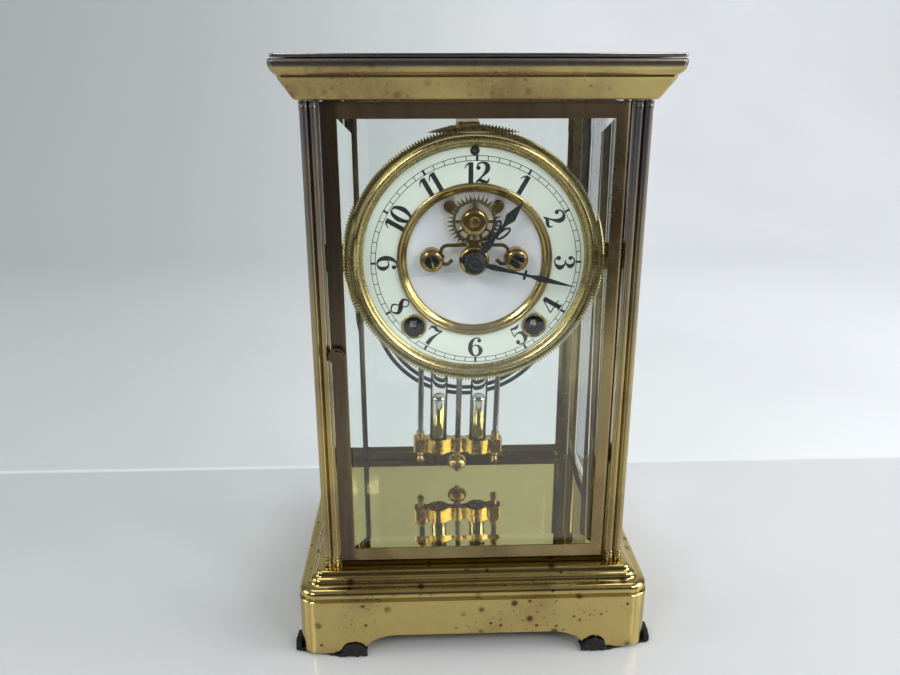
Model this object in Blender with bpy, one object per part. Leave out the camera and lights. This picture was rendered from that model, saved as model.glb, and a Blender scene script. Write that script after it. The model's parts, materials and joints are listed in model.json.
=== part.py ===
"""Four-glass mantel clock (crystal regulator) with visible escapement, hour strike and twin-vial pendulum.

The model stands on z = 0 with its origin at the bottom centre of the case. +X is to the right and +Z is
up; the dial faces -Y. Every dimension is in millimetres and MM turns it into Blender's metres.

Pieces whose axis runs from front to back are drawn face-on: their outlines are (right, up) and their
heights are distances forward of the case's middle plane, so a height of 44 lies at y = -44.
"""

import bmesh
import bpy
from math import atan2, cos, degrees, hypot, pi, radians, sin, sqrt
from mathutils import Matrix, Vector
from mathutils.geometry import tessellate_polygon

MM = 0.001
GAP = 0.3            # space left between pieces that touch
THROUGH = 5.0        # how far a cutter runs past what it cuts

# ---------------------------------------------------------------- case
HEIGHT = 270.0
FELT = 0.7                      # thickness of the felt under the feet
BASE_BOTTOM = FELT + GAP
BASE_HALF = (82.25, 68.25)      # half width and half depth of the plinth block
BASE_BLOCK_TOP = 29.9
BASE_TOP = 40.7
BASE_WALL = 4.0
ARCH_HEIGHT = 10.8
ARCH_FLAT_HALF = (36.0, 24.0)   # half length of the arch's flat top, front and side
ARCH_FOOT_HALF = (52.6, 40.0)   # half length of the arch at the feet, front and side
FLOOR_TOP = 43.0
CORNICE_BOTTOM = 252.6
CORNICE_TOP = 268.2
TOP_PLATE_HALF = (79.9, 65.6)
TOP_PLATE_SHIFT = 0.5           # the plate lies a little to the right on the cornice

POST_INNER = 62.9
POST_OUTER = 70.4
POST_FRONT = 56.35
POST_REAR = 48.5
POST_FOOT = 1.4                 # height of the plain block at each end of a post
GLASS_THICKNESS = 2.6
GLASS_BEVEL = 7.3
SIDE_GLASS_INNER = 66.0
SIDE_GLASS_HALF = 49.7

# ---------------------------------------------------------------- doors
DOOR_HALF = 62.4
DOOR_BOTTOM = 43.6
DOOR_TOP = 252.0
DOOR_FRONT = 55.3
DOOR_THICKNESS = 5.0
DOOR_STILE = 6.6
DOOR_LIP = 0.8                  # brass in front of the glass
DOOR_REBATE = 2.1               # how far the glass runs under the lip
HINGE = (DOOR_HALF - DOOR_THICKNESS / 2, DOOR_FRONT - DOOR_THICKNESS / 2)
HINGE_PIN = (1.2, 2.0)          # radius and length
KNOB = (-60.0, 146.7)           # place of the door knob: right, up
KNOB_RADIUS = 3.6

# ---------------------------------------------------------------- dial
DIAL = 185.0                    # height of the dial's centre above the ground
BEZEL_RADIUS = 55.7
BEZEL_OPENING = 48.3
CHAPTER = (33.3, 49.0)          # inner and outer radius of the enamel ring
CHAPTER_FACE = 40.65
CENTRE_FACE = 38.0              # recessed porcelain centre
CENTRE_RADIUS = 34.0
INNER_OPENING = 29.7
WINDING = (27.0, -29.7)         # winding square beside and below the dial's centre
WINDING_HOLE = 5.4
ENAMEL_HOLES = ((27.2, -30.4), (-26.6, -30.4))     # drilled a little off the winding squares
REGULATOR_UP = 46.7

# ---------------------------------------------------------------- movement, from the dial's centre
PLATE_RADIUS = 49.5
PLATE_THICKNESS = 1.6
FRONT_PLATE = 29.6              # inner face of the front plate
BACK_PLATE = 0.0                # inner face of the back plate
PIVOT_END = 1.4                 # how far an arbor reaches into a plate
GREAT_TEETH, GREAT_MODULE = 60, 0.6
SECOND_TEETH, SECOND_MODULE = 60, 0.56
CENTRE_TEETH, CENTRE_MODULE = 72, 0.44
THIRD_TEETH, THIRD_MODULE = 75, 0.36
PIN_TEETH, PIN_MODULE = 60, 0.46
GREAT_LEAVES = 10               # pinions turned by the great wheels
CENTRE_LEAVES = 10
THIRD_LEAVES = 6
ESCAPE_LEAVES = 7
FLY_LEAVES = 7
CANNON_LEAVES, MINUTE_TEETH, CANNON_MODULE = 10, 30, 0.5
MINUTE_LEAVES, HOUR_TEETH, HOUR_MODULE = 10, 40, 0.4
ESCAPE_UP = 16.8
ESCAPE_TEETH = 36
ESCAPE_TIP = 12.0
PALLET_UP = 40.9                # pallet arbor and pendulum pivot
PALLET_JEWEL = (10.5, 22.9)
PIN_DIRECTION = 84.0            # from the strike barrel up to the pin wheel
HAMMER_ARBOR = (-40.8, -8.9)
FLY_DIRECTION = 110.0
BARREL_RADIUS = 15.8
ARBOR = 0.8

# ---------------------------------------------------------------- hands, degrees clockwise from 12
HOUR_ANGLE = 38.5
MINUTE_ANGLE = 104.3
HOUR_HAND_FACE = 44.8
MINUTE_HAND_FACE = 46.3

# ---------------------------------------------------------------- pendulum, heights above the ground
PENDULUM_BACK = 26.0            # how far behind the middle plane it hangs
PENDULUM_LEAN = 1.4             # degrees to the left, as it is caught in its swing
PIVOT_HEIGHT = DIAL + PALLET_UP
ROD_SPACING = 20.8
ROD_RADIUS = 1.55
VIAL_SPACING = 10.9
VIAL_RADIUS = 4.65
VIAL_WALL = 0.5
STIRRUP = (60.5, 68.5)          # bottom and top of the brass stirrup plate
YOKE = (136.0, 139.0)           # bottom and top of the upper yoke
MERCURY_TOP = 93.5
NUT_CENTRE = 53.3
NUT_RADIUS = 5.3

# ---------------------------------------------------------------- gong
GONG_CENTRE = 139.4
GONG_BACK = 38.0
GONG_RADIUS = 51.0
GONG_PITCH = 3.5
GONG_TURNS = 2.2
GONG_WIRE = 1.1
GONG_POST = (14.0, 152.3)


# ================================================================ outlines
def circle(radius, count, centre=(0.0, 0.0), turn=0.0):
    """Points of a regular polygon, counter-clockwise; turn is the first point's angle in degrees."""
    steps = [radians(turn) + 2 * pi * i / count for i in range(count)]
    return [(centre[0] + radius * cos(a), centre[1] + radius * sin(a)) for a in steps]


def arc(centre, radius, start, end, steps):
    """Points along an arc from start to end degrees, both ends included."""
    angles = [radians(start + (end - start) * i / steps) for i in range(steps + 1)]
    return [(centre[0] + radius * cos(a), centre[1] + radius * sin(a)) for a in angles]


def ellipse(centre, half, count, lean):
    """An ellipse with half axes along and across a direction lean, in degrees."""
    turn = Matrix.Rotation(radians(lean), 2)
    rim = [turn @ Vector((half[0] * u, half[1] * v)) for u, v in circle(1.0, count)]
    return [(centre[0] + p.x, centre[1] + p.y) for p in rim]


def rounded_rectangle(half_width, half_depth, radius, steps=4):
    corners = ((1, 1, 0), (-1, 1, 90), (-1, -1, 180), (1, -1, 270))
    points = []
    for side, end, start in corners:
        centre = (side * (half_width - radius), end * (half_depth - radius))
        points += arc(centre, radius, start, start + 90, steps)
    return points


def rectangle(low, high):
    return [(low[0], low[1]), (high[0], low[1]), (high[0], high[1]), (low[0], high[1])]


def mirrored(points):
    """The outline reflected left to right, still counter-clockwise."""
    return [(-u, v) for u, v in reversed(points)]


def both_sides(right_half):
    """A symmetric outline from its right half, given from bottom to top."""
    return right_half + mirrored(right_half)


def shifted(points, by):
    return [(u + by[0], v + by[1]) for u, v in points]


def ribbon(points, width):
    """The outline of a strip of even width along a line of points."""
    left, right = [], []
    for i, (u, v) in enumerate(points):
        before, after = points[max(i - 1, 0)], points[min(i + 1, len(points) - 1)]
        run, rise = after[0] - before[0], after[1] - before[1]
        length = hypot(run, rise)
        across = (-rise / length * width / 2, run / length * width / 2)
        left.append((u + across[0], v + across[1]))
        right.append((u - across[0], v - across[1]))
    return right + left[::-1]


def wheel_teeth(teeth, module, phase):
    """A wheel's outline: flat-topped teeth with a V between them; one tooth centre at phase degrees."""
    pitch = teeth * module / 2
    step = 2 * pi / teeth
    points = []
    for i in range(teeth):
        centre = radians(phase) + i * step
        for offset, radius in ((-0.15, pitch + 0.8 * module), (0.15, pitch + 0.8 * module),
                               (0.5, pitch - 1.7 * module)):
            angle = centre + offset * step
            points.append((radius * cos(angle), radius * sin(angle)))
    return points


def pinion_leaves(leaves, module, phase):
    """A pinion's outline: narrow leaves on a round core."""
    pitch = leaves * module / 2
    step = 2 * pi / leaves
    tip, core = pitch + 0.6 * module, pitch - 1.15 * module
    points = []
    for i in range(leaves):
        centre = radians(phase) + i * step
        for offset, radius in ((-0.22, core), (-0.11, tip), (0.11, tip), (0.22, core)):
            angle = centre + offset * step
            points.append((radius * cos(angle), radius * sin(angle)))
    return points


def meshing_phase(driver_phase, driver_teeth, teeth, direction):
    """Phase of a gear whose gap faces a tooth of its driver, along direction from driver to gear."""
    ahead = direction - driver_phase
    return direction + 180 + 180 / teeth + ahead * driver_teeth / teeth


def direction_between(start, end):
    return degrees(atan2(end[1] - start[1], end[0] - start[0]))


def crossings(count, inner, outer, arm, phase=0.0):
    """The openings between a wheel's arms."""
    holes = []
    for i in range(count):
        start, end = phase + 360 * i / count, phase + 360 * (i + 1) / count
        cut_outer, cut_inner = degrees(arm / 2 / outer), degrees(arm / 2 / inner)
        rim = arc((0, 0), outer, start + cut_outer, end - cut_outer, 4)
        hub = arc((0, 0), inner, end - cut_inner, start + cut_inner, 1)
        holes.append(rim + hub)
    return holes


def where_wheels_meet(first, first_reach, second, second_reach, side):
    """The point at given distances from two centres, left (+1) or right (-1) of the line between."""
    gap = hypot(second[0] - first[0], second[1] - first[1])
    along = (first_reach ** 2 - second_reach ** 2 + gap ** 2) / (2 * gap)
    off = side * sqrt(first_reach ** 2 - along ** 2)
    unit = ((second[0] - first[0]) / gap, (second[1] - first[1]) / gap)
    return (first[0] + along * unit[0] - off * unit[1], first[1] + along * unit[1] + off * unit[0])


# ================================================================ solids
def area(points):
    return sum(a[0] * b[1] - b[0] * a[1] for a, b in zip(points, points[1:] + points[:1])) / 2


def loop_at(bm, outline, height):
    return [bm.verts.new((u * MM, v * MM, height * MM)) for u, v in outline]


def wall(bm, low, high):
    for i in range(len(low)):
        j = (i + 1) % len(low)
        bm.faces.new((low[i], low[j], high[j], high[i]))


def cap(bm, loops):
    """Fill the flat area between an outer loop and the loops inside it."""
    corners = [corner for loop in loops for corner in loop]
    for triangle in tessellate_polygon([[corner.co for corner in loop] for loop in loops]):
        bm.faces.new([corners[i] for i in triangle])


def finished(bm, name, smooth_angle=35.0):
    """Turn a closed bmesh into an object with smooth round faces and sharp edges."""
    bmesh.ops.recalc_face_normals(bm, faces=bm.faces)
    mesh = bpy.data.meshes.new(name)
    bm.to_mesh(mesh)
    bm.free()
    mesh.shade_smooth()
    mesh.set_sharp_from_angle(angle=radians(smooth_angle))
    piece = bpy.data.objects.new(name, mesh)
    bpy.context.scene.collection.objects.link(piece)
    return piece


def layered(name, layers, bore=None):
    """A solid of flat layers, lowest first: (bottom, top, outline) or (bottom, top, outline, holes).

    Each layer starts where the last one ends, and lies wholly inside or outside it. A bore is one
    hole through every layer.
    """
    bm = bmesh.new()
    bores = [bore] if bore else []
    below = None
    for number, (bottom, top, outline, *holes) in enumerate(layers):
        holes = holes[0] if holes else []
        same = below and layers[number - 1][2] == outline
        low = below["outline"] if same else loop_at(bm, outline, bottom)
        low_holes = [loop_at(bm, hole, bottom) for hole in holes]
        low_bores = below["bores"] if below else [loop_at(bm, hole, bottom) for hole in bores]
        if not below:
            cap(bm, [low] + low_holes + low_bores)
        elif same:
            for hole in low_holes + below["holes"]:
                cap(bm, [hole])
        elif abs(area(outline)) > abs(area(layers[number - 1][2])):
            cap(bm, [low] + low_holes + [below["outline"]])
        else:
            cap(bm, [below["outline"]] + below["holes"] + [low])
        high = loop_at(bm, outline, top)
        high_holes = [loop_at(bm, hole, top) for hole in holes]
        high_bores = [loop_at(bm, hole, top) for hole in bores]
        pairs = zip([low] + low_holes + low_bores, [high] + high_holes + high_bores)
        for lower, upper in pairs:
            wall(bm, lower, upper)
        below = {"outline": high, "holes": high_holes, "bores": high_bores}
    cap(bm, [below["outline"]] + below["holes"] + below["bores"])
    return finished(bm, name)


def lofted(name, sections, smooth_angle=35.0):
    """A solid through outlines with equal numbers of points: (height, outline), lowest first."""
    bm = bmesh.new()
    loops = [loop_at(bm, outline, height) for height, outline in sections]
    for low, high in zip(loops, loops[1:]):
        wall(bm, low, high)
    cap(bm, [loops[0]])
    cap(bm, [loops[-1]])
    return finished(bm, name, smooth_angle)


def turned(name, profile, steps, centre=(0.0, 0.0), closed=False):
    """A turned solid: profile is (radius, height); an open one starts and ends on the axis."""
    bm = bmesh.new()
    rings = []
    for radius, height in profile:
        if radius == 0:
            spot = bm.verts.new((centre[0] * MM, centre[1] * MM, height * MM))
            rings.append([spot] * steps)
        else:
            rings.append(loop_at(bm, circle(radius, steps, centre), height))
    pairs = list(zip(rings, rings[1:]))
    if closed:
        pairs.append((rings[-1], rings[0]))
    for low, high in pairs:
        for i in range(steps):
            j = (i + 1) % steps
            corners = dict.fromkeys((low[i], low[j], high[j], high[i]))
            if len(corners) > 2:
                bm.faces.new(tuple(corners))
    return finished(bm, name)


def rod(name, start, end, radius, steps=8):
    """A round bar between two points."""
    start, end = Vector(start), Vector(end)
    length = (end - start).length
    bar = layered(name, [(0.0, length, circle(radius, steps))])
    bar.data.transform((end - start).to_track_quat("Z", "Y").to_matrix().to_4x4())
    bar.data.transform(Matrix.Translation(start * MM))
    return bar


def block(name, low, high):
    return layered(name, [(low[2], high[2], rectangle(low[:2], high[:2]))])


# ================================================================ joining, cutting and placing
def hidden_tool(tool):
    tool.hide_render = True
    tool.display_type = "WIRE"


def combine(piece, tools, operation):
    """Add Boolean modifiers; each tool shares the piece's frame."""
    for tool in tools:
        hidden_tool(tool)
        tool.parent = piece
        step = piece.modifiers.new(operation.title(), "BOOLEAN")
        step.operation = operation
        step.solver = "EXACT"
        step.object = tool
    return piece


def cut(piece, *tools):
    return combine(piece, tools, "DIFFERENCE")


def fused(piece, *tools):
    return combine(piece, tools, "UNION")


def at(piece, x=0.0, y=0.0, z=0.0, pivot=None):
    """Put a piece's origin at a point, as seen from its pivot if it has one."""
    piece.location = Vector((x, y, z)) * MM
    if pivot:
        piece.parent = pivot
    return piece


def facing_front(piece, x=0.0, z=0.0, pivot=None):
    """Stand a piece up so that its outline faces the front; x and z place its origin."""
    piece.rotation_euler.x = pi / 2
    return at(piece, x, 0.0, z, pivot)


def on_dial(piece, right=0.0, up=0.0):
    return facing_front(piece, right, DIAL + up)


def pivot_at(name, x, y, z, lean=0.0, turn=0.0):
    """An empty on a joint's axis that carries the pieces of one moving body."""
    pivot = bpy.data.objects.new(name, None)
    pivot.location = Vector((x, y, z)) * MM
    pivot.rotation_euler = (0.0, radians(lean), radians(turn))
    bpy.context.scene.collection.objects.link(pivot)
    return pivot


def finish(colour, roughness, metallic=0.0, transmission=0.0):
    """What a material looks like, for coat() to give to a piece."""
    return {"colour": colour, "roughness": roughness, "metallic": metallic,
            "transmission": transmission}


BRASS = finish((0.72, 0.56, 0.24), 0.18, 1.0)
OLD_BRASS = finish((0.42, 0.30, 0.16), 0.35, 1.0)
MOVEMENT_BRASS = finish((0.78, 0.62, 0.30), 0.28, 1.0)
STEEL = finish((0.56, 0.56, 0.57), 0.25, 1.0)
BLUE_STEEL = finish((0.05, 0.06, 0.09), 0.35, 0.6)
BRONZE = finish((0.34, 0.22, 0.12), 0.35, 1.0)
ENAMEL = finish((0.88, 0.90, 0.86), 0.12)
GLASS = finish((0.92, 0.96, 0.94), 0.02, 0.0, 1.0)
MERCURY = finish((0.75, 0.74, 0.72), 0.08, 1.0)
FELT_CLOTH = finish((0.02, 0.02, 0.025), 0.95)


def coat(piece, look):
    """Give a piece a material of its own."""
    material = bpy.data.materials.new(piece.name)
    material.use_nodes = True
    shader = material.node_tree.nodes["Principled BSDF"]
    shader.inputs["Base Color"].default_value = (*look["colour"], 1.0)
    shader.inputs["Roughness"].default_value = look["roughness"]
    shader.inputs["Metallic"].default_value = look["metallic"]
    shader.inputs["Transmission Weight"].default_value = look["transmission"]
    piece.data.materials.append(material)
    return piece


# ================================================================ case
def moulding(profile, corner):
    """Rounded rectangles for a run of (inset from the plinth block's face, height)."""
    sections = []
    for inset, height in profile:
        radius = max(corner - inset, 2.0)
        outline = rounded_rectangle(BASE_HALF[0] - inset, BASE_HALF[1] - inset, radius)
        sections.append((height, outline))
    return sections


def arch(flat_half, foot_half):
    """The opening between two bracket feet, steep at the feet and flat across, as (along, up)."""
    below = BASE_BOTTOM - THROUGH
    reach, rise = foot_half - flat_half, ARCH_HEIGHT - BASE_BOTTOM
    shoulder = []
    for i in range(7):
        turn = pi / 2 * i / 6
        shoulder.append((flat_half + reach * cos(turn), BASE_BOTTOM + rise * sin(turn)))
    return both_sides([(foot_half, below)] + shoulder)


def make_base():
    profile = [(0.0, BASE_BOTTOM), (0.0, BASE_BLOCK_TOP), (1.3, BASE_BLOCK_TOP + 0.7)]
    profile += [(0.9 + inset, BASE_BLOCK_TOP + 2.9 + up) for inset, up in
                ((0.5, -1.7), (0.0, -0.8), (0.1, 0.6), (1.2, 1.8), (3.2, 2.5))]
    profile += [(4.8, 35.6), (6.0, 36.6), (6.9, 38.2), (7.2, 39.3), (7.9, 40.3), (9.2, BASE_TOP)]
    base = lofted("base", moulding(profile, 9.0))
    room = (BASE_HALF[0] - BASE_WALL, BASE_HALF[1] - BASE_WALL)
    ceiling = BASE_TOP - 2 * BASE_WALL
    hollow = lofted("base_hollow", [
        (BASE_BOTTOM - THROUGH, rounded_rectangle(*room, 5.0, 2)),
        (BASE_BLOCK_TOP - BASE_WALL, rounded_rectangle(*room, 5.0, 2)),
        (ceiling, rounded_rectangle(room[0] - 6.0, room[1] - 6.0, 5.0, 2))])
    front_arch = layered("front_arch", [(-BASE_HALF[1] - THROUGH, BASE_HALF[1] + THROUGH,
                                         arch(ARCH_FLAT_HALF[0], ARCH_FOOT_HALF[0]))])
    front_arch.rotation_euler.x = pi / 2
    side_arch = layered("side_arch", [(-BASE_HALF[0] - THROUGH, BASE_HALF[0] + THROUGH,
                                       arch(ARCH_FLAT_HALF[1], ARCH_FOOT_HALF[1]))])
    side_arch.rotation_euler = (pi / 2, 0.0, pi / 2)
    coat(cut(base, hollow, front_arch, side_arch), BRASS)


def make_floor_plate():
    sockets = [circle(HINGE_PIN[0] + 0.4, 12, place) for place in
               ((HINGE[0], -HINGE[1]), (-HINGE[0], HINGE[1]))]
    outline = rectangle((-DOOR_HALF, -DOOR_FRONT), (DOOR_HALF, DOOR_FRONT))
    coat(layered("floor_plate", [(BASE_TOP + GAP, FLOOR_TOP, outline, sockets)]), BRASS)


def make_cornice():
    profile = ((70.8, CORNICE_BOTTOM), (72.0, 252.9), (73.1, 254.1), (74.2, 255.9), (75.8, 258.4),
               (77.1, 260.5), (77.4, 261.8), (78.4, 262.7), (79.5, 263.9), (80.1, 265.3),
               (80.2, 266.8), (79.8, CORNICE_TOP))
    narrower = BASE_HALF[0] - BASE_HALF[1]
    sections = [(up, rounded_rectangle(half, half - narrower, 3.0, 2)) for half, up in profile]
    cornice = lofted("cornice", sections)
    room = rounded_rectangle(66.0, 52.0, 3.0, 2)
    hollow = layered("cornice_hollow", [(CORNICE_BOTTOM + BASE_WALL, CORNICE_TOP + THROUGH, room)])
    sockets = []
    for name, place in (("front_socket", (HINGE[0], -HINGE[1])), ("rear_socket", (-HINGE[0], HINGE[1]))):
        hole = circle(HINGE_PIN[0] + 0.4, 12, place)
        top = DOOR_TOP + HINGE_PIN[1] + 0.6
        sockets.append(layered(name, [(CORNICE_BOTTOM - THROUGH, top, hole)]))
    coat(cut(cornice, hollow, *sockets), BRASS)


def make_top_plate():
    outline = shifted(rounded_rectangle(*TOP_PLATE_HALF, 2.5, 2), (TOP_PLATE_SHIFT, 0.0))
    coat(layered("top_plate", [(CORNICE_TOP + GAP, HEIGHT, outline)]), OLD_BRASS)


def post_outline():
    """Section of the front right post: a reed, the corner reed, a side reed and the glass groove."""
    reed, corner = 1.5, 1.75
    front, outer = -POST_FRONT, POST_OUTER
    groove = (SIDE_GLASS_INNER - GAP, SIDE_GLASS_INNER + GLASS_THICKNESS + GAP)
    points = [(POST_INNER, -POST_REAR), (POST_INNER, front + 1.1)]
    points += arc((POST_INNER + 2.2, front + reed), reed, 180, 360, 4)
    points += arc((outer - corner, front + corner), corner, 190, 440, 7)
    points += arc((outer - reed, -POST_REAR - 2.3), reed, -80, 80, 4)
    points += [(outer - 0.3, -POST_REAR), (groove[1], -POST_REAR),
               (groove[1], -SIDE_GLASS_HALF - GAP), (groove[0], -SIDE_GLASS_HALF - GAP),
               (groove[0], -POST_REAR)]
    return points


def make_posts():
    block_outline = rectangle((POST_INNER - 0.25, -POST_FRONT - 0.25), (POST_OUTER + 0.25, -POST_REAR + 0.1))
    bottom, top = BASE_TOP + GAP, CORNICE_BOTTOM - GAP
    for name, side, end in (("post_front_right", 1, 1), ("post_front_left", -1, 1),
                            ("post_rear_right", 1, -1), ("post_rear_left", -1, -1)):
        def placed(outline):
            return [(side * u, end * v) for u, v in outline]
        layers = [(bottom, bottom + POST_FOOT, placed(block_outline)),
                  (bottom + POST_FOOT, top - POST_FOOT, placed(post_outline())),
                  (top - POST_FOOT, top, placed(block_outline))]
        coat(layered(name, layers), BRASS)


def bevelled_pane(name, low, high):
    """A pane with its bevel on the outer face; low and high are its corners, seen face-on."""
    def inset(by):
        return rectangle((low[0] + by, low[1] + by), (high[0] - by, high[1] - by))
    return coat(lofted(name, [(0.0, inset(0.0)), (GLASS_THICKNESS * 0.45, inset(0.0)),
                              (GLASS_THICKNESS, inset(GLASS_BEVEL))], 5.0), GLASS)


def make_side_glass():
    bottom, top = BASE_TOP + POST_FOOT + 2 * GAP, CORNICE_BOTTOM - POST_FOOT - 2 * GAP
    for name, side in (("right_glass", 1), ("left_glass", -1)):
        pane = bevelled_pane(name, (-SIDE_GLASS_HALF, bottom), (SIDE_GLASS_HALF, top))
        pane.rotation_euler = (pi / 2, 0.0, side * pi / 2)
        at(pane, side * SIDE_GLASS_INNER)


def make_foot_pads():
    """Felt strips across the corners, with ends folded up over the front or back and the sides."""
    reach, lobe, inset = 6.2, 6.9, 3.6
    fold = (2.4, 1.3)
    edge = (BASE_HALF[0] + GAP, BASE_HALF[1] + GAP)
    front_lobe, side_lobe = 57.0, 50.5
    for name, side, end in (("foot_pad_front_right", 1, -1), ("foot_pad_front_left", -1, -1),
                            ("foot_pad_rear_right", 1, 1), ("foot_pad_rear_left", -1, 1)):
        strips = []
        for back, near in ((inset, 0.5), (0.0, 0.0)):
            far = (edge[0] + fold[0] - back, edge[1] + fold[1] - back)
            start = (front_lobe - reach + near, side_lobe - reach + near)
            strip = [(start[0], far[1]), (start[0], edge[1] - 6.0 + near),
                     (edge[0] - 14.0 + near, start[1]), (far[0], start[1]),
                     (far[0], side_lobe + reach - back), (front_lobe + reach - back, far[1])]
            strips.append([(side * u, end * v) for u, v in strip])
        pad = layered(name, [(0.0, 0.4, strips[0]), (0.4, FELT, strips[1])])
        dome = [(-reach, 0.4)] + arc((0.0, lobe - reach), reach, 180, 0, 6) + [(reach, 0.4)]
        ends = sorted((end * edge[1], end * (edge[1] + fold[1])))
        front = layered(name + "_front_fold", [(-ends[1], -ends[0], shifted(dome, (side * front_lobe, 0)))])
        front.rotation_euler.x = pi / 2
        sides = sorted((side * edge[0], side * (edge[0] + fold[0])))
        flank = layered(name + "_side_fold", [(sides[0], sides[1], shifted(dome, (end * side_lobe, 0)))])
        flank.rotation_euler = (pi / 2, 0.0, pi / 2)
        coat(fused(pad, front, flank), FELT_CLOTH)


# ================================================================ doors
def make_door(prefix, turn):
    """One glazed door about its hinge axis, with its turn knob; turn 180 hangs it at the back."""
    turned_place = Matrix.Rotation(radians(turn), 2) @ Vector((HINGE[0], -HINGE[1]))
    hinge = pivot_at(prefix + "_door_hinge", turned_place.x, turned_place.y, 0.0, 0.0, turn)
    half = DOOR_THICKNESS / 2
    left = -DOOR_HALF - HINGE[0]
    slab = [(left, half), (left, -half)] + arc((0, 0), half, -90, 90, 6)
    pin = circle(HINGE_PIN[0], 10)
    frame = layered(prefix + "_door_frame", [
        (DOOR_BOTTOM - HINGE_PIN[1], DOOR_BOTTOM, pin), (DOOR_BOTTOM, DOOR_TOP, slab),
        (DOOR_TOP, DOOR_TOP + HINGE_PIN[1], pin)])
    edge = DOOR_HALF - DOOR_STILE
    top = DOOR_TOP - DOOR_STILE
    bottom = DOOR_BOTTOM + DOOR_STILE - 0.5
    lip = -half + DOOR_LIP
    opening = block(prefix + "_opening", (-edge - HINGE[0], -half - THROUGH, bottom),
                    (edge - HINGE[0], half + THROUGH, top))
    under = DOOR_REBATE
    rebate = block(prefix + "_rebate", (-edge - under - HINGE[0], lip, bottom - under),
                   (edge + under - HINGE[0], half + THROUGH, top + under))
    knob_place = (KNOB[0] - HINGE[0], KNOB[1])
    shaft_hole = layered(prefix + "_shaft_hole", [(-THROUGH, THROUGH, circle(1.35, 10, knob_place))])
    shaft_hole.rotation_euler.x = pi / 2
    at(coat(cut(frame, opening, rebate, shaft_hole), BRASS), pivot=hinge)

    room = under - GAP
    pane = bevelled_pane(prefix + "_door_glass", (-edge - room - HINGE[0], bottom - room),
                         (edge + room - HINGE[0], top + room))
    facing_front(pane, pivot=hinge)
    pane.location.y = (lip + GAP + GLASS_THICKNESS) * MM

    cam = [(-1.5, -2.0), (1.5, -2.0), (1.5, 3.6)] + arc((0, 3.7), 1.5, 0, 180, 4)
    behind = POST_REAR - HINGE[1] - GAP
    front = half + GAP
    knob = layered(prefix + "_door_knob", [
        (behind - 1.0, behind, cam), (behind, front, circle(1.0, 10)),
        (front, front + 2.4, circle(KNOB_RADIUS, 16)), (front + 2.4, front + 3.3, circle(2.6, 16))])
    facing_front(coat(knob, BRASS), KNOB[0] - HINGE[0], KNOB[1], hinge)


# ================================================================ dial
def make_bezel():
    """Convex bezel with two rope-edged beads and a rabbet that holds the enamel ring."""
    front, rear, rim = 44.0, 36.4, BEZEL_RADIUS
    lip = CHAPTER_FACE + GAP
    seat = CHAPTER_FACE - 1.45 - GAP
    profile = [(BEZEL_OPENING, lip), (48.9, 42.8), (50.8, front + 0.2), (52.8, 43.4), (53.4, 42.9),
               (54.6, front), (rim, 42.4), (54.6, 40.9), (54.6, 39.6), (rim, 38.0), (54.8, rear),
               (52.0, rear), (52.0, 37.7), (46.0, 37.7), (46.0, seat), (49.3, seat), (49.3, lip)]
    bezel = turned("dial_bezel", profile, 36, closed=True)
    hole = circle(2.1, 12, (0, REGULATOR_UP))
    notch = layered("regulator_notch", [(rear - THROUGH, front + THROUGH, hole)])
    on_dial(coat(cut(bezel, notch), BRASS))


def make_dial_faces():
    winding = [circle(WINDING_HOLE, 12, place) for place in ENAMEL_HOLES]
    regulator = circle(1.7, 10, (0, REGULATOR_UP))
    ring = layered("chapter_ring", [(CHAPTER_FACE - 1.45, CHAPTER_FACE, circle(CHAPTER[1], 40),
                                     winding + [regulator])], bore=circle(CHAPTER[0], 40))
    on_dial(coat(ring, ENAMEL))

    face = CHAPTER_FACE + GAP
    profile = [(INNER_OPENING, 38.3), (30.3, 39.3), (32.0, 40.4), (32.4, 41.5), (33.3, 41.8),
               (33.9, 41.4), (33.9, face), (33.0, face), (33.0, 38.3)]
    on_dial(coat(turned("inner_ring", profile, 36, closed=True), BRASS))

    holes = [circle(1.5, 10, (0, ESCAPE_UP))]
    holes += [circle(2.6, 12, (side * PALLET_JEWEL[0], PALLET_JEWEL[1])) for side in (1, -1)]
    disc = layered("dial_centre", [(CENTRE_FACE - 1.4, CENTRE_FACE, circle(CENTRE_RADIUS, 40), holes)],
                   bore=circle(3.3, 12))
    on_dial(coat(disc, ENAMEL))


def make_mounting_ring():
    """Brass ring behind the dial with an ear to each front post."""
    rim, ear, half = 54.0, 65.2, 6.0
    bend = degrees(atan2(half, rim))
    outline = arc((0, 0), rim, bend, 180 - bend, 18) + [(-ear, half), (-ear, -half)]
    outline += arc((0, 0), rim, 180 + bend, 360 - bend, 18) + [(ear, -half), (ear, half)]
    holes = [circle(1.5, 10, (0, REGULATOR_UP))]
    ring = layered("mounting_ring", [(34.4, 36.0, outline, holes)], bore=circle(43.0, 36))
    tabs = []
    for name, side in (("right_tab", 1), ("left_tab", -1)):
        sides = sorted((side * (ear - 2.0), side * ear))
        tabs.append(block(name, (sides[0], -half, 34.9), (sides[1], half, POST_REAR - GAP)))
    on_dial(coat(fused(ring, *tabs), MOVEMENT_BRASS))


def scroll_arm(side):
    """Centre line of one bridge arm: along the bar, down past the boss and back in a hook."""
    line = [(0.0, 7.4), (4.0, 7.2), (8.5, 7.0)] + arc((11.6, 4.0), 3.0, 90, 0, 3)
    line += [(14.9, 1.4)] + arc((12.4, 0.9), 2.3, -10, -150, 4) + [(9.6, 0.6)]
    return [(side * u, v) for u, v in line]


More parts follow.
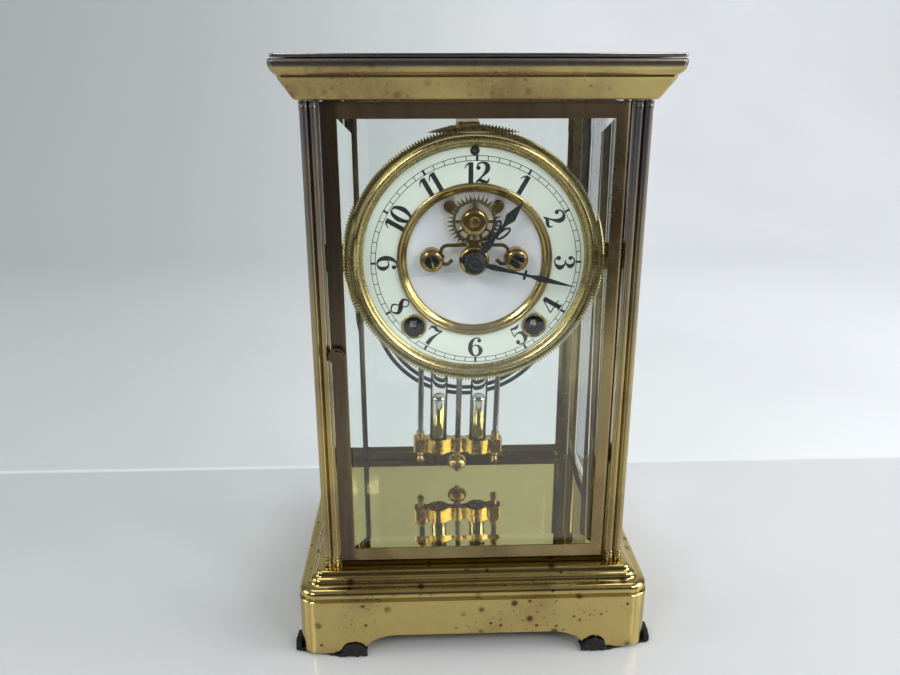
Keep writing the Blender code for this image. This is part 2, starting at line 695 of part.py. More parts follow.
def make_bridge():
    """Scrolled bronze bridge over the escape wheel, with its three domed bosses and hour collar."""
    low, high = 42.6, 43.6
    bridge = turned("escapement_bridge", [(0, 42.5), (5.6, 42.5), (6.0, 43.2), (5.4, 44.0), (0, 44.2)],
                    16, (0, ESCAPE_UP))
    collar = turned("hour_collar", [(3.1, 38.3), (4.4, 38.3), (4.4, 41.9), (6.4, 41.9), (6.4, 42.9),
                                    (5.2, 43.9), (3.1, 43.9)], 16, closed=True)
    tools = [collar]
    for side in (1, -1):
        place = (side * 18.4, 0.0)
        tools.append(turned("bridge_boss", [(0, 38.3), (5.2, 38.3), (5.2, 41.6), (4.2, 43.3), (2.6, 43.9),
                                            (0, 43.9)], 16, place))
        tools.append(layered("scroll_arm", [(low, high, ribbon(scroll_arm(side), 1.5))]))
        loop = (side * 4.9, 11.5)
        tools.append(layered("scroll_loop", [(low - 0.02, high - 0.02, circle(2.6, 12, loop),
                                              [circle(1.7, 12, loop)])]))
        leg = ribbon([(side * 2.3, 12.2), (side * 2.9, 9.6), (side * 2.6, 6.6)], 1.4)
        tools.append(layered("scroll_leg", [(low + 0.02, high + 0.02, leg)]))
        stay = ribbon([(side * 13.0, 2.4), (side * 16.4, 1.2)], 1.6)
        tools.append(layered("scroll_stay", [(low + 0.04, high + 0.04, stay)]))
    tools.append(layered("scroll_neck", [(low - 0.04, high + 0.06, rectangle((-1.9, 4.6), (1.9, 7.2)))]))
    on_dial(coat(fused(bridge, *tools), BRONZE))


# ================================================================ movement frame
SECOND_ARBOR = where_wheels_meet(
    WINDING, (GREAT_TEETH + GREAT_LEAVES) * GREAT_MODULE / 2,
    (0.0, 0.0), (SECOND_TEETH + CENTRE_LEAVES) * SECOND_MODULE / 2, -1)
ESCAPE_ARBOR = (0.0, ESCAPE_UP)
THIRD_ARBOR = where_wheels_meet(
    (0.0, 0.0), (CENTRE_TEETH + THIRD_LEAVES) * CENTRE_MODULE / 2,
    ESCAPE_ARBOR, (THIRD_TEETH + ESCAPE_LEAVES) * THIRD_MODULE / 2, -1)
STRIKE_WINDING = (-WINDING[0], WINDING[1])
PIN_REACH = (GREAT_TEETH + GREAT_LEAVES) * GREAT_MODULE / 2
PIN_ARBOR = (STRIKE_WINDING[0] + PIN_REACH * cos(radians(PIN_DIRECTION)),
             STRIKE_WINDING[1] + PIN_REACH * sin(radians(PIN_DIRECTION)))
FLY_REACH = (PIN_TEETH + FLY_LEAVES) * PIN_MODULE / 2
FLY_ARBOR = (PIN_ARBOR[0] + FLY_REACH * cos(radians(FLY_DIRECTION)),
             PIN_ARBOR[1] + FLY_REACH * sin(radians(FLY_DIRECTION)))
MINUTE_ARBOR = (0.0, -(CANNON_LEAVES + MINUTE_TEETH) * CANNON_MODULE / 2)
PILLARS = [arc((0, 0), 45.0, angle, angle, 1)[0] for angle in (25.0, 155.0, 270.0)]
PALLET_ARBOR = (0.0, PALLET_UP)


def make_plates():
    shared = [circle(ARBOR + 0.6, 8, place) for place in
              (SECOND_ARBOR, THIRD_ARBOR, PIN_ARBOR, FLY_ARBOR, ESCAPE_ARBOR, PALLET_ARBOR)]
    shared += [circle(1.7, 10, HAMMER_ARBOR), circle(1.5, 10, (0, REGULATOR_UP))]
    shared += [circle(1.6, 8, place) for place in PILLARS]
    barrels = [circle(2.6, 12, place) for place in (WINDING, STRIKE_WINDING)]
    front_holes = shared + barrels + [circle(1.9, 12), circle(1.2, 8, MINUTE_ARBOR)]
    small = [circle(1.5, 10, place) for place in (WINDING, STRIKE_WINDING)]
    back_holes = shared + small + [circle(1.4, 10)]
    front = layered("front_plate", [(FRONT_PLATE, FRONT_PLATE + PLATE_THICKNESS,
                                     circle(PLATE_RADIUS, 36), front_holes)])
    back = layered("back_plate", [(BACK_PLATE - PLATE_THICKNESS, BACK_PLATE,
                                   circle(PLATE_RADIUS, 36), back_holes)])
    on_dial(coat(front, MOVEMENT_BRASS))
    on_dial(coat(back, MOVEMENT_BRASS))


def make_pillars():
    stud, body = circle(1.2, 8), circle(2.4, 8)
    for number, place in enumerate(PILLARS, 1):
        pillar = layered(f"plate_pillar_{number}", [
            (BACK_PLATE - PLATE_THICKNESS - 0.8, BACK_PLATE + GAP, stud),
            (BACK_PLATE + GAP, FRONT_PLATE - GAP, body), (FRONT_PLATE - GAP, 34.1, stud)])
        on_dial(coat(pillar, MOVEMENT_BRASS), *place)


def make_suspension_cock():
    """Bracket behind the back plate that the pendulum hangs from, drawn from the side."""
    plate = PLATE_THICKNESS + GAP
    foot, under, beam, top = 228.2, 229.2, 233.6, 235.2
    outline = [(plate, foot), (plate + 2.2, foot), (plate + 2.2, beam), (21.5, beam), (21.5, under),
               (30.5, under), (30.5, top), (plate, top)]
    cock = layered("suspension_cock", [(-5.0, 5.0, outline)])
    for corner in cock.data.vertices:
        corner.co = (corner.co.z, corner.co.x, corner.co.y)
    hole = layered("cock_hole", [(-THROUGH - plate, THROUGH, circle(1.5, 10, (0, DIAL + REGULATOR_UP)))])
    hole.rotation_euler.x = pi / 2
    coat(cut(cock, hole), MOVEMENT_BRASS)


# ================================================================ going train
def make_barrel(name, place, phase):
    """A spring barrel with its great wheel in front, on a bore for the winding arbor."""
    drum, rear = (12.0, 26.4), 11.0
    wheel = wheel_teeth(GREAT_TEETH, GREAT_MODULE, phase)
    barrel = layered(name, [(rear, drum[0], circle(6.0, 16)), (*drum, circle(BARREL_RADIUS, 32)),
                            (drum[1], drum[1] + 1.4, wheel)], bore=circle(2.5, 12))
    on_dial(coat(barrel, MOVEMENT_BRASS), *place)


def make_winding_arbor(name, place):
    square = rectangle((-1.35, -1.35), (1.35, 1.35))
    arbor = layered(name, [(-PIVOT_END, BACK_PLATE + 0.4, circle(1.1, 8)),
                           (BACK_PLATE + 0.4, 32.6, circle(2.0, 12)), (32.6, 38.7, square)])
    on_dial(coat(arbor, STEEL), *place)


def wheel_arbor(start, end, gears, radius=ARBOR, steps=8):
    """Layers of an arbor from start to end with gears on it: (bottom, top, outline, holes...)."""
    layers = []
    for gear in gears:
        layers += [(start, gear[0], circle(radius, steps)), gear] if gear[0] > start else [gear]
        start = gear[1]
    return layers + [(start, end, circle(radius, steps))]


CENTRE_PHASE = 0.0
THIRD_PHASE = meshing_phase(CENTRE_PHASE, CENTRE_TEETH, THIRD_LEAVES,
                            direction_between((0, 0), THIRD_ARBOR))
ESCAPE_PHASE = meshing_phase(THIRD_PHASE, THIRD_TEETH, ESCAPE_LEAVES,
                             direction_between(THIRD_ARBOR, ESCAPE_ARBOR))
SECOND_PHASE = meshing_phase(CENTRE_PHASE, CENTRE_LEAVES, SECOND_TEETH,
                             direction_between((0, 0), SECOND_ARBOR))
TIME_BARREL_PHASE = meshing_phase(SECOND_PHASE, GREAT_LEAVES, GREAT_TEETH,
                                  direction_between(SECOND_ARBOR, WINDING))
MINUTE_PHASE = meshing_phase(CENTRE_PHASE, CANNON_LEAVES, MINUTE_TEETH, -90.0)
HOUR_PHASE = meshing_phase(MINUTE_PHASE, MINUTE_LEAVES, HOUR_TEETH, 90.0)
PIN_PHASE = 0.0
STRIKE_BARREL_PHASE = meshing_phase(PIN_PHASE, GREAT_LEAVES, GREAT_TEETH,
                                    direction_between(PIN_ARBOR, STRIKE_WINDING))
FLY_PHASE = meshing_phase(PIN_PHASE, PIN_TEETH, FLY_LEAVES, FLY_DIRECTION)


def make_going_train():
    make_barrel("time_barrel", WINDING, TIME_BARREL_PHASE)
    make_winding_arbor("time_winding_arbor", WINDING)

    second = wheel_teeth(SECOND_TEETH, SECOND_MODULE, SECOND_PHASE)
    pinion = pinion_leaves(GREAT_LEAVES, GREAT_MODULE, SECOND_PHASE)
    layers = wheel_arbor(-PIVOT_END, FRONT_PLATE + PIVOT_END, [
        (26.0, 28.3, pinion), (28.3, 29.1, second, crossings(4, 5.0, 14.2, 2.2))])
    on_dial(coat(layered("second_wheel", layers), MOVEMENT_BRASS), *SECOND_ARBOR)

    wheel = wheel_teeth(CENTRE_TEETH, CENTRE_MODULE, CENTRE_PHASE)
    centre_pinion = pinion_leaves(CENTRE_LEAVES, SECOND_MODULE, CENTRE_PHASE)
    cannon = pinion_leaves(CANNON_LEAVES, CANNON_MODULE, CENTRE_PHASE)
    layers = wheel_arbor(0.4, 46.2, [
        (6.6, 7.6, wheel, crossings(4, 4.0, 13.6, 2.2)), (27.9, 29.3, centre_pinion),
        (32.0, 33.6, cannon)], 1.3, 12)
    layers = [(-PIVOT_END, 0.4, circle(ARBOR, 8))] + layers
    layers += [(46.2, 48.6, circle(1.0, 8))]
    on_dial(coat(layered("centre_wheel", layers), MOVEMENT_BRASS))

    third = wheel_teeth(THIRD_TEETH, THIRD_MODULE, THIRD_PHASE)
    pinion = pinion_leaves(THIRD_LEAVES, CENTRE_MODULE, THIRD_PHASE)
    layers = wheel_arbor(-PIVOT_END, FRONT_PLATE + PIVOT_END, [
        (6.0, 8.2, pinion), (10.5, 11.6, third, crossings(4, 3.4, 11.6, 1.8))], 0.55)
    on_dial(coat(layered("third_wheel", layers), MOVEMENT_BRASS), *THIRD_ARBOR)


def escape_teeth():
    """Long pointed teeth leaning the way the wheel turns."""
    step = 2 * pi / ESCAPE_TEETH
    root = ESCAPE_TIP - 2.6
    points = []
    for i in range(ESCAPE_TEETH):
        for offset, radius in ((0.0, ESCAPE_TIP), (0.32, root), (0.68, root)):
            angle = i * step + offset * step
            points.append((radius * cos(angle), radius * sin(angle)))
    return points


def make_escapement():
    pinion = pinion_leaves(ESCAPE_LEAVES, THIRD_MODULE, ESCAPE_PHASE)
    layers = wheel_arbor(-PIVOT_END, 42.2, [
        (10.1, 11.9, pinion), (40.8, 41.3, escape_teeth(), crossings(4, 2.6, 8.2, 1.4))], 0.55)
    on_dial(coat(layered("escape_wheel", layers), MOVEMENT_BRASS), *ESCAPE_ARBOR)

    # the anchor is drawn about its own arbor, with a pallet jewel at each end
    jewel = (PALLET_JEWEL[0], PALLET_JEWEL[1] - PALLET_UP)
    right = [(7.6, jewel[1] + 2.6)] + arc(jewel, 2.0, 190, 370, 5) + [(3.0, -0.8), (1.6, 1.5)]
    outline = [(0.0, -4.2)] + both_sides(right)
    anchor = layered("pallet_anchor", [(-14.6, 35.2, circle(0.9, 8)), (35.2, 36.2, outline)])
    jewels = []
    for side in (1, -1):
        place = (side * jewel[0], jewel[1])
        jewels.append(layered("pallet_jewel", [(35.6, 38.4, circle(0.8, 10, place)),
                                               (38.4, 40.3, circle(2.3, 14, place))]))
    pivot = pivot_at("pallet_pivot", 0.0, 0.0, PIVOT_HEIGHT, PENDULUM_LEAN)
    facing_front(coat(fused(anchor, *jewels), STEEL), pivot=pivot)

    # the crutch hangs behind the back plate; its fork straddles the pendulum's middle rod
    near, far = 12.2, 14.0
    drop = -36.0
    hub = layered("crutch", [(-far, -near, both_sides([(1.4, drop), (1.4, -3.0), (3.0, -1.6), (3.0, 1.6),
                                                       (1.4, 3.0)]))],
                  bore=circle(1.25, 8))
    prongs = [block("crutch_prong", (side * 2.6 - 0.6, drop, -PENDULUM_BACK - 2.2),
                    (side * 2.6 + 0.6, drop + 2.4, -near - 0.2)) for side in (1, -1)]
    bar = block("crutch_bar", (-3.2, drop, -far + 0.1), (3.2, drop + 2.4, -near - 0.1))
    facing_front(coat(fused(hub, bar, *prongs), MOVEMENT_BRASS), pivot=pivot)


def make_motion_work():
    wheel = wheel_teeth(MINUTE_TEETH, CANNON_MODULE, MINUTE_PHASE)
    pinion = pinion_leaves(MINUTE_LEAVES, HOUR_MODULE, MINUTE_PHASE)
    layers = wheel_arbor(29.9, 36.2, [(32.4, 33.2, wheel), (33.2, 35.8, pinion)], 0.7)
    on_dial(coat(layered("minute_wheel", layers), MOVEMENT_BRASS), *MINUTE_ARBOR)

    wheel = wheel_teeth(HOUR_TEETH, HOUR_MODULE, HOUR_PHASE)
    layers = [(34.6, 35.4, wheel), (35.4, HOUR_HAND_FACE - GAP, circle(2.6, 12)),
              (HOUR_HAND_FACE - GAP, HOUR_HAND_FACE + 0.6, circle(2.2, 12))]
    on_dial(coat(layered("hour_wheel", layers, bore=circle(1.8, 12)), MOVEMENT_BRASS))


# ================================================================ hands
def make_hands():
    blade = both_sides([(0.7, -5.6), (1.3, -5.0), (3.0, -2.9), (4.0, 0.0), (3.0, 2.9), (1.2, 4.2),
                        (1.7, 9.0), (0.7, 13.6), (0.8, 20.6), (2.3, 24.4), (0.15, 32.7)])
    hour = layered("hour_hand", [(HOUR_HAND_FACE, HOUR_HAND_FACE + 0.6, blade)],
                   bore=circle(2.5, 12))
    loops = []
    for side in (1, -1):
        centre = (side * 1.9, 17.2)
        loops.append(layered("hour_loop", [(HOUR_HAND_FACE - 0.02, HOUR_HAND_FACE + 0.58,
                                            ellipse(centre, (3.9, 1.7), 14, 90 - side * 14),
                                            [ellipse(centre, (2.9, 0.8), 14, 90 - side * 14)])]))
    hour = on_dial(coat(fused(hour, *loops), BLUE_STEEL))
    hour.rotation_euler.y = radians(HOUR_ANGLE)

    blade = both_sides([(0.6, -7.0), (1.2, -6.0), (3.0, -2.2), (3.6, 0.0), (2.9, 2.2), (0.8, 4.8),
                        (1.3, 8.2), (0.5, 19.0), (0.6, 21.9), (2.2, 22.0), (2.2, 23.0), (0.6, 23.1),
                        (0.6, 25.2), (1.45, 29.2), (0.12, 45.0)])
    minute = layered("minute_hand", [(MINUTE_HAND_FACE + GAP, MINUTE_HAND_FACE + 0.9, blade)],
                     bore=circle(1.3, 10))
    on_dial(coat(minute, BLUE_STEEL)).rotation_euler.y = radians(MINUTE_ANGLE)

    face = MINUTE_HAND_FACE + 1.2
    nut = turned("hand_nut", [(0, face + 1.6), (1.3, face + 1.6), (1.3, face), (4.7, face),
                              (4.7, face + 1.0), (3.4, face + 1.8), (0, face + 2.0)], 16)
    on_dial(coat(nut, BLUE_STEEL))


# ================================================================ striking train
def make_strike_train():
    make_barrel("strike_barrel", STRIKE_WINDING, STRIKE_BARREL_PHASE)
    make_winding_arbor("strike_winding_arbor", STRIKE_WINDING)

    wheel = wheel_teeth(PIN_TEETH, PIN_MODULE, PIN_PHASE)
    pinion = pinion_leaves(GREAT_LEAVES, GREAT_MODULE, PIN_PHASE)
    layers = wheel_arbor(-PIVOT_END, FRONT_PLATE + PIVOT_END, [
        (10.0, 10.8, wheel, crossings(4, 3.6, 8.4, 1.8)), (26.0, 28.2, pinion)])
    pin_wheel = layered("pin_wheel", layers)
    pins = [layered("lifting_pin", [(8.5, 10.4, circle(0.6, 6, place))])
            for place in circle(10.2, 8)]
    on_dial(coat(fused(pin_wheel, *pins), MOVEMENT_BRASS), *PIN_ARBOR)

    core, half, reach = 0.9, 0.4, 5.0
    quarter = [(core, -core), (core, -half), (reach, -half), (reach, half), (core, half), (core, core)]
    layers = wheel_arbor(-PIVOT_END, FRONT_PLATE + PIVOT_END, [
        (9.4, 11.4, pinion_leaves(FLY_LEAVES, PIN_MODULE, FLY_PHASE)),
        (13.0, 26.0, both_sides(quarter))], 0.55)
    on_dial(coat(layered("fly", layers), MOVEMENT_BRASS), *FLY_ARBOR)


def make_hammer():
    """Hammer on an arbor through both plates; its head waits beside the gong's inner turn."""
    near, back = -34.6, -GONG_BACK + 1.4
    head = Vector((6.1, -22.7))
    blow = Vector((-0.93, 0.37))
    hammer = layered("hammer", [(near - 1.1, FRONT_PLATE + PIVOT_END, circle(1.1, 8))])
    arm = rod("hammer_arm", (0, 0, near), (*head, near - 0.4), 0.8)
    face = rod("hammer_face", (*(head + 4.8 * blow), back), (*(head - 4.0 * blow), back), 3.2, 12)
    toward = Vector((PIN_ARBOR[0] - HAMMER_ARBOR[0], PIN_ARBOR[1] - HAMMER_ARBOR[1]))
    tip = toward.normalized() * (toward.length - 11.3)
    tail = layered("hammer_tail", [(8.7, 9.7, ribbon([(0, 0), tuple(tip)], 1.6))])
    on_dial(coat(fused(hammer, arm, face, tail), STEEL), *HAMMER_ARBOR)


def make_gong():
    """Spiral of steel wire that bends in at its inner end to a block on a post."""
    inner = GONG_RADIUS - GONG_PITCH * GONG_TURNS
    bend = 8.0
    steps = 15
    last = 28.9
    count = round(GONG_TURNS * steps)
    points = []
    for i in range(count + 1):
        angle = radians(last + 360 * (GONG_TURNS - i / steps))
        radius = inner + GONG_PITCH * (count - i) / steps
        points.append((radius * cos(angle), radius * sin(angle)))
    right, level = points[-1][0], GONG_POST[1] - GONG_CENTRE
    points[-1] = (right, level + bend)
    points += arc((right - bend, level + bend), bend, -22, -90, 3)
    points.append((GONG_POST[0] + 5.3, level))
    line = bpy.data.curves.new("gong", "CURVE")
    line.dimensions = "3D"
    line.bevel_depth = GONG_WIRE * MM
    line.bevel_resolution = 1
    line.use_fill_caps = True
    spline = line.splines.new("POLY")
    spline.points.add(len(points) - 1)
    for spot, (right, up) in zip(spline.points, points):
        spot.co = (right * MM, up * MM, -GONG_BACK * MM, 1.0)
    gong = bpy.data.objects.new("gong", line)
    bpy.context.scene.collection.objects.link(gong)
    facing_front(coat(gong, BLUE_STEEL), 0.0, GONG_CENTRE)

    rear = PLATE_THICKNESS + GAP
    post = layered("gong_post", [(-GONG_BACK + 3.0, -rear, circle(2.6, 10))])
    seat = block("gong_block", (-5.0, -5.0, -GONG_BACK - 4.0), (5.0, 5.0, -GONG_BACK + 4.0))
    facing_front(coat(fused(post, seat), STEEL), *GONG_POST)


def make_regulator():
    """Rating arbor from the small hole above 12 to the suspension cock."""
    up = REGULATOR_UP
    square = rectangle((-0.75, -0.75), (0.75, 0.75))
    layers = [(-16.2, -14.8, circle(1.5, 12)), (-14.8, 39.0, circle(1.1, 8)), (39.0, 41.6, square)]
    on_dial(coat(layered("regulator_arbor", layers), STEEL), 0.0, up)


# ================================================================ pendulum
def stirrup_outline():
    """Scalloped plan of the stirrup plate: rod blocks, vial cups and a boss at the middle."""
    right = arc((0, 0), 3.6, -90, -30, 2)
    right += arc((VIAL_SPACING, 0), 6.0, -150, -50, 5)
    right += [(ROD_SPACING - 3.6, -2.6), (ROD_SPACING - 2.6, -3.6), (ROD_SPACING + 2.8, -3.6),
              (ROD_SPACING + 3.8, -2.6), (ROD_SPACING + 3.8, 2.6), (ROD_SPACING + 2.8, 3.6),
              (ROD_SPACING - 2.6, 3.6), (ROD_SPACING - 3.6, 2.6)]
    right += arc((VIAL_SPACING, 0), 6.0, 50, 150, 5)
    right += arc((0, 0), 3.6, 30, 90, 2)
    return right[1:-1] + [(-u, v) for u, v in reversed(right)]


def make_pendulum():
    """Everything here is placed below the pivot, so heights are from the ground less PIVOT_HEIGHT."""
    swing = pivot_at("pendulum_pivot", 0.0, PENDULUM_BACK, PIVOT_HEIGHT, PENDULUM_LEAN)

    def down(height):
        return height - PIVOT_HEIGHT

    outline = stirrup_outline()
    cup = STIRRUP[0] + 2.3
    cups = [circle(VIAL_RADIUS + GAP, 16, (side * VIAL_SPACING, 0)) for side in (1, -1)]
    frame = layered("pendulum_frame", [(down(STIRRUP[0]), down(cup), outline),
                                       (down(cup), down(STIRRUP[1]), outline, cups)])
    yoke = block("pendulum_yoke", (-ROD_SPACING - 3.4, -3.0, down(YOKE[0])),
                 (ROD_SPACING + 3.4, 3.0, down(YOKE[1])))
    tools = [yoke, rod("middle_rod", (0, 0, down(51.2)), (0, 0, down(220.6)), ROD_RADIUS, 10)]
    for side in (1, -1):
        profile = [(0, 52.8), (1.6, 53.4), (2.2, 54.9), (1.6, 56.4), (1.2, 57.2), (2.0, 58.3), (2.0, 59.8),
                   (1.4, 61.0), (ROD_RADIUS, 67.5), (2.5, 68.0), (2.5, 69.6), (ROD_RADIUS, 70.8),
                   (ROD_RADIUS, 139.8), (0, 140.2)]
        profile = [(radius, down(height)) for radius, height in profile]
        tools.append(turned("side_rod", profile, 10, (side * ROD_SPACING, 0)))
    at(coat(fused(frame, *tools), MOVEMENT_BRASS), pivot=swing)

    floor, top = cup + GAP, YOKE[0] - GAP
    for name, side in (("right", 1), ("left", -1)):
        bore = VIAL_RADIUS - VIAL_WALL
        profile = [(0, floor), (VIAL_RADIUS - 0.6, floor), (VIAL_RADIUS, floor + 0.8), (VIAL_RADIUS, top),
                   (bore, top), (bore, floor + 0.9), (0, floor + 0.9)]
        profile = [(radius, down(height)) for radius, height in profile]
        vial = turned(f"{name}_vial", profile, 16)
        at(coat(vial, GLASS), side * VIAL_SPACING, pivot=swing)
        inside, bed = bore - GAP, floor + 1.2
        profile = [(0, bed), (inside, bed), (inside, MERCURY_TOP - 1.4), (inside * 0.7, MERCURY_TOP - 0.4),
                   (0, MERCURY_TOP)]
        profile = [(radius, down(height)) for radius, height in profile]
        column = turned(f"{name}_mercury", profile, 14)
        at(coat(column, MERCURY), side * VIAL_SPACING, pivot=swing)

    spring = layered("suspension_spring", [
        (down(220.9), down(223.4), rectangle((-1.7, -2.2), (1.7, 2.2))),
        (down(223.4), down(226.8), rectangle((-0.25, -1.9), (0.25, 1.9))),
        (down(226.8), down(228.4), rectangle((-1.5, -2.2), (1.5, 2.2)))])
    at(coat(spring, STEEL), pivot=swing)

    centre = NUT_CENTRE
    profile = [(0, centre - 2.6), (1.9, centre - 2.6), (1.9, centre + 3.9), (2.8, centre + 3.9),
               (4.7, centre + 2.2), (NUT_RADIUS, centre), (4.5, centre - 2.2), (2.2, centre - 3.6),
               (1.5, centre - 4.8), (0, centre - 5.9)]
    profile = [(radius, down(height)) for radius, height in profile]
    at(coat(turned("rating_nut", profile, 14), BRASS), pivot=swing)


# ================================================================ build
def clear_scene():
    for thing in list(bpy.data.objects):
        bpy.data.objects.remove(thing)


def build_clock():
    clear_scene()
    make_base()
    make_floor_plate()
    make_cornice()
    make_top_plate()
    make_posts()
    make_side_glass()
    make_foot_pads()
    make_door("front", 0.0)
    make_door("rear", 180.0)
    make_bezel()
    make_dial_faces()
    make_mounting_ring()
    make_bridge()
    make_plates()
    make_pillars()
    make_suspension_cock()
    make_going_train()
    make_escapement()
    make_motion_work()
    make_hands()
    make_strike_train()
    make_hammer()
    make_gong()
    make_regulator()
    make_pendulum()


build_clock()
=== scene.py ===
"""Looks for the four-glass mantel clock: materials, dial printing, knurled bezel, felt, light and camera.

Everything is in metres in the row frame. Lengths below are written in millimetres and MM converts them.
Face-on pieces are drawn as (right, up) from the dial's centre, at a distance forward of the middle plane.
"""

import json
from math import cos, hypot, pi, radians, sin

import bmesh
import bpy
from mathutils import Matrix, Vector, noise


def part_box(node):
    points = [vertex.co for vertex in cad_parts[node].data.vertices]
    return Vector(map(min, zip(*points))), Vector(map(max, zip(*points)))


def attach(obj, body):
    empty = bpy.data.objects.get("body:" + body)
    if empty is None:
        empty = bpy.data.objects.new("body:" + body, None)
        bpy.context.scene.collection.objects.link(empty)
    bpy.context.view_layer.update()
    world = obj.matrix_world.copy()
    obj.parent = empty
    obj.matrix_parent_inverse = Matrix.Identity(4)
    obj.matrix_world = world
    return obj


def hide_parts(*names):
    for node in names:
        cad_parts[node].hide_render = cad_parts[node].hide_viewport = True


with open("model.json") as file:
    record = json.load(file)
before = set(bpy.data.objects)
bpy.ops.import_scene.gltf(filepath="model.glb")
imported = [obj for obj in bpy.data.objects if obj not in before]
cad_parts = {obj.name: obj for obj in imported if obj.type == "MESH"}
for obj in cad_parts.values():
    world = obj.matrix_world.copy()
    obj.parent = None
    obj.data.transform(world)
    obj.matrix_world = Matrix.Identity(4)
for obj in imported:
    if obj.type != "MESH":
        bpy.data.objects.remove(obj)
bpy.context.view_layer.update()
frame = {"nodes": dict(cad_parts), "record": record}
nodes = frame["nodes"]
body_of = {node: body for body, members in frame["record"]["behaviour"]["bodies"].items() for node in members}

MM = 0.001
DIAL = 185.0
PIVOT_HEIGHT = 225.9
PENDULUM_LEAN = 1.4
PENDULUM_BACK = 26.0
ENAMEL_FACE = 40.65             # how far forward the enamel's front lies
PRINT = (1.0, -1.35)            # the dial's printing sits off its centre
TRACK = (43.95, 45.95)          # inner and outer circle of the minute track
KEY_HOLES = ((27.2, -30.4), (-26.6, -30.4))
KEY_HOLE_RADIUS = 5.4
RATING_HOLE = (0.0, 46.7)
ESCAPE_ARBOR = (0.0, 16.8)
ROD_SPACING = 20.8              # from the pendulum's middle to an outer rod, and to a vial
VIAL_SPACING = 10.9


# ================================================================ material building
class Surface:
    """A procedural material being built; every method returns a socket or the material."""

    def __init__(self, name):
        self.material = bpy.data.materials.new(name)
        self.material.use_nodes = True
        self.tree = self.material.node_tree
        self.shader = self.tree.nodes["Principled BSDF"]
        self.place = self.tree.nodes.new("ShaderNodeTexCoord").outputs["Object"]

    def node(self, kind, **settings):
        made = self.tree.nodes.new("ShaderNode" + kind)
        for key, value in settings.items():
            setattr(made, key, value)
        return made

    def feed(self, socket, value):
        if isinstance(value, bpy.types.NodeSocket):
            self.tree.links.new(value, socket)
        else:
            socket.default_value = value

    def set(self, **values):
        for key, value in values.items():
            self.feed(self.shader.inputs[key.replace("_", " ")], value)

    def noise(self, scale, detail=3.0, stretch=(1, 1, 1), roughness=0.5):
        spread = self.node("Mapping")
        self.feed(spread.inputs["Vector"], self.place)
        spread.inputs["Scale"].default_value = stretch
        made = self.node("TexNoise")
        self.feed(made.inputs["Vector"], spread.outputs["Vector"])
        made.inputs["Scale"].default_value = scale
        made.inputs["Detail"].default_value = detail
        made.inputs["Roughness"].default_value = roughness
        return made.outputs["Fac"]

    def cells(self, scale):
        """Distance to the nearest of scattered points."""
        made = self.node("TexVoronoi")
        self.feed(made.inputs["Vector"], self.place)
        made.inputs["Scale"].default_value = scale
        return made.outputs["Distance"]

    def remap(self, value, low, high, to_low=0.0, to_high=1.0):
        made = self.node("MapRange", interpolation_type="SMOOTHSTEP")
        self.feed(made.inputs["Value"], value)
        for key, number in (("From Min", low), ("From Max", high), ("To Min", to_low), ("To Max", to_high)):
            made.inputs[key].default_value = number
        return made.outputs["Result"]

    def math(self, operation, first, second=0.5):
        made = self.node("Math", operation=operation, use_clamp=True)
        self.feed(made.inputs[0], first)
        self.feed(made.inputs[1], second)
        return made.outputs[0]

    def axis(self, name):
        made = self.node("SeparateXYZ")
        self.feed(made.inputs[0], self.place)
        return made.outputs[name]

    def blend(self, amount, first, second):
        made = self.node("Mix", data_type="RGBA")
        self.feed(made.inputs["Factor"], amount)
        self.feed(made.inputs["A"], colour(first))
        self.feed(made.inputs["B"], colour(second))
        return made.outputs["Result"]

    def bump(self, height, distance, strength=0.3):
        made = self.node("Bump")
        made.inputs["Strength"].default_value = strength
        made.inputs["Distance"].default_value = distance
        self.feed(made.inputs["Height"], height)
        self.feed(self.shader.inputs["Normal"], made.outputs["Normal"])


def colour(value):
    """An RGBA colour from an RGB one; sockets pass through."""
    if isinstance(value, bpy.types.NodeSocket) or len(value) == 4:
        return value
    return (*value, 1.0)


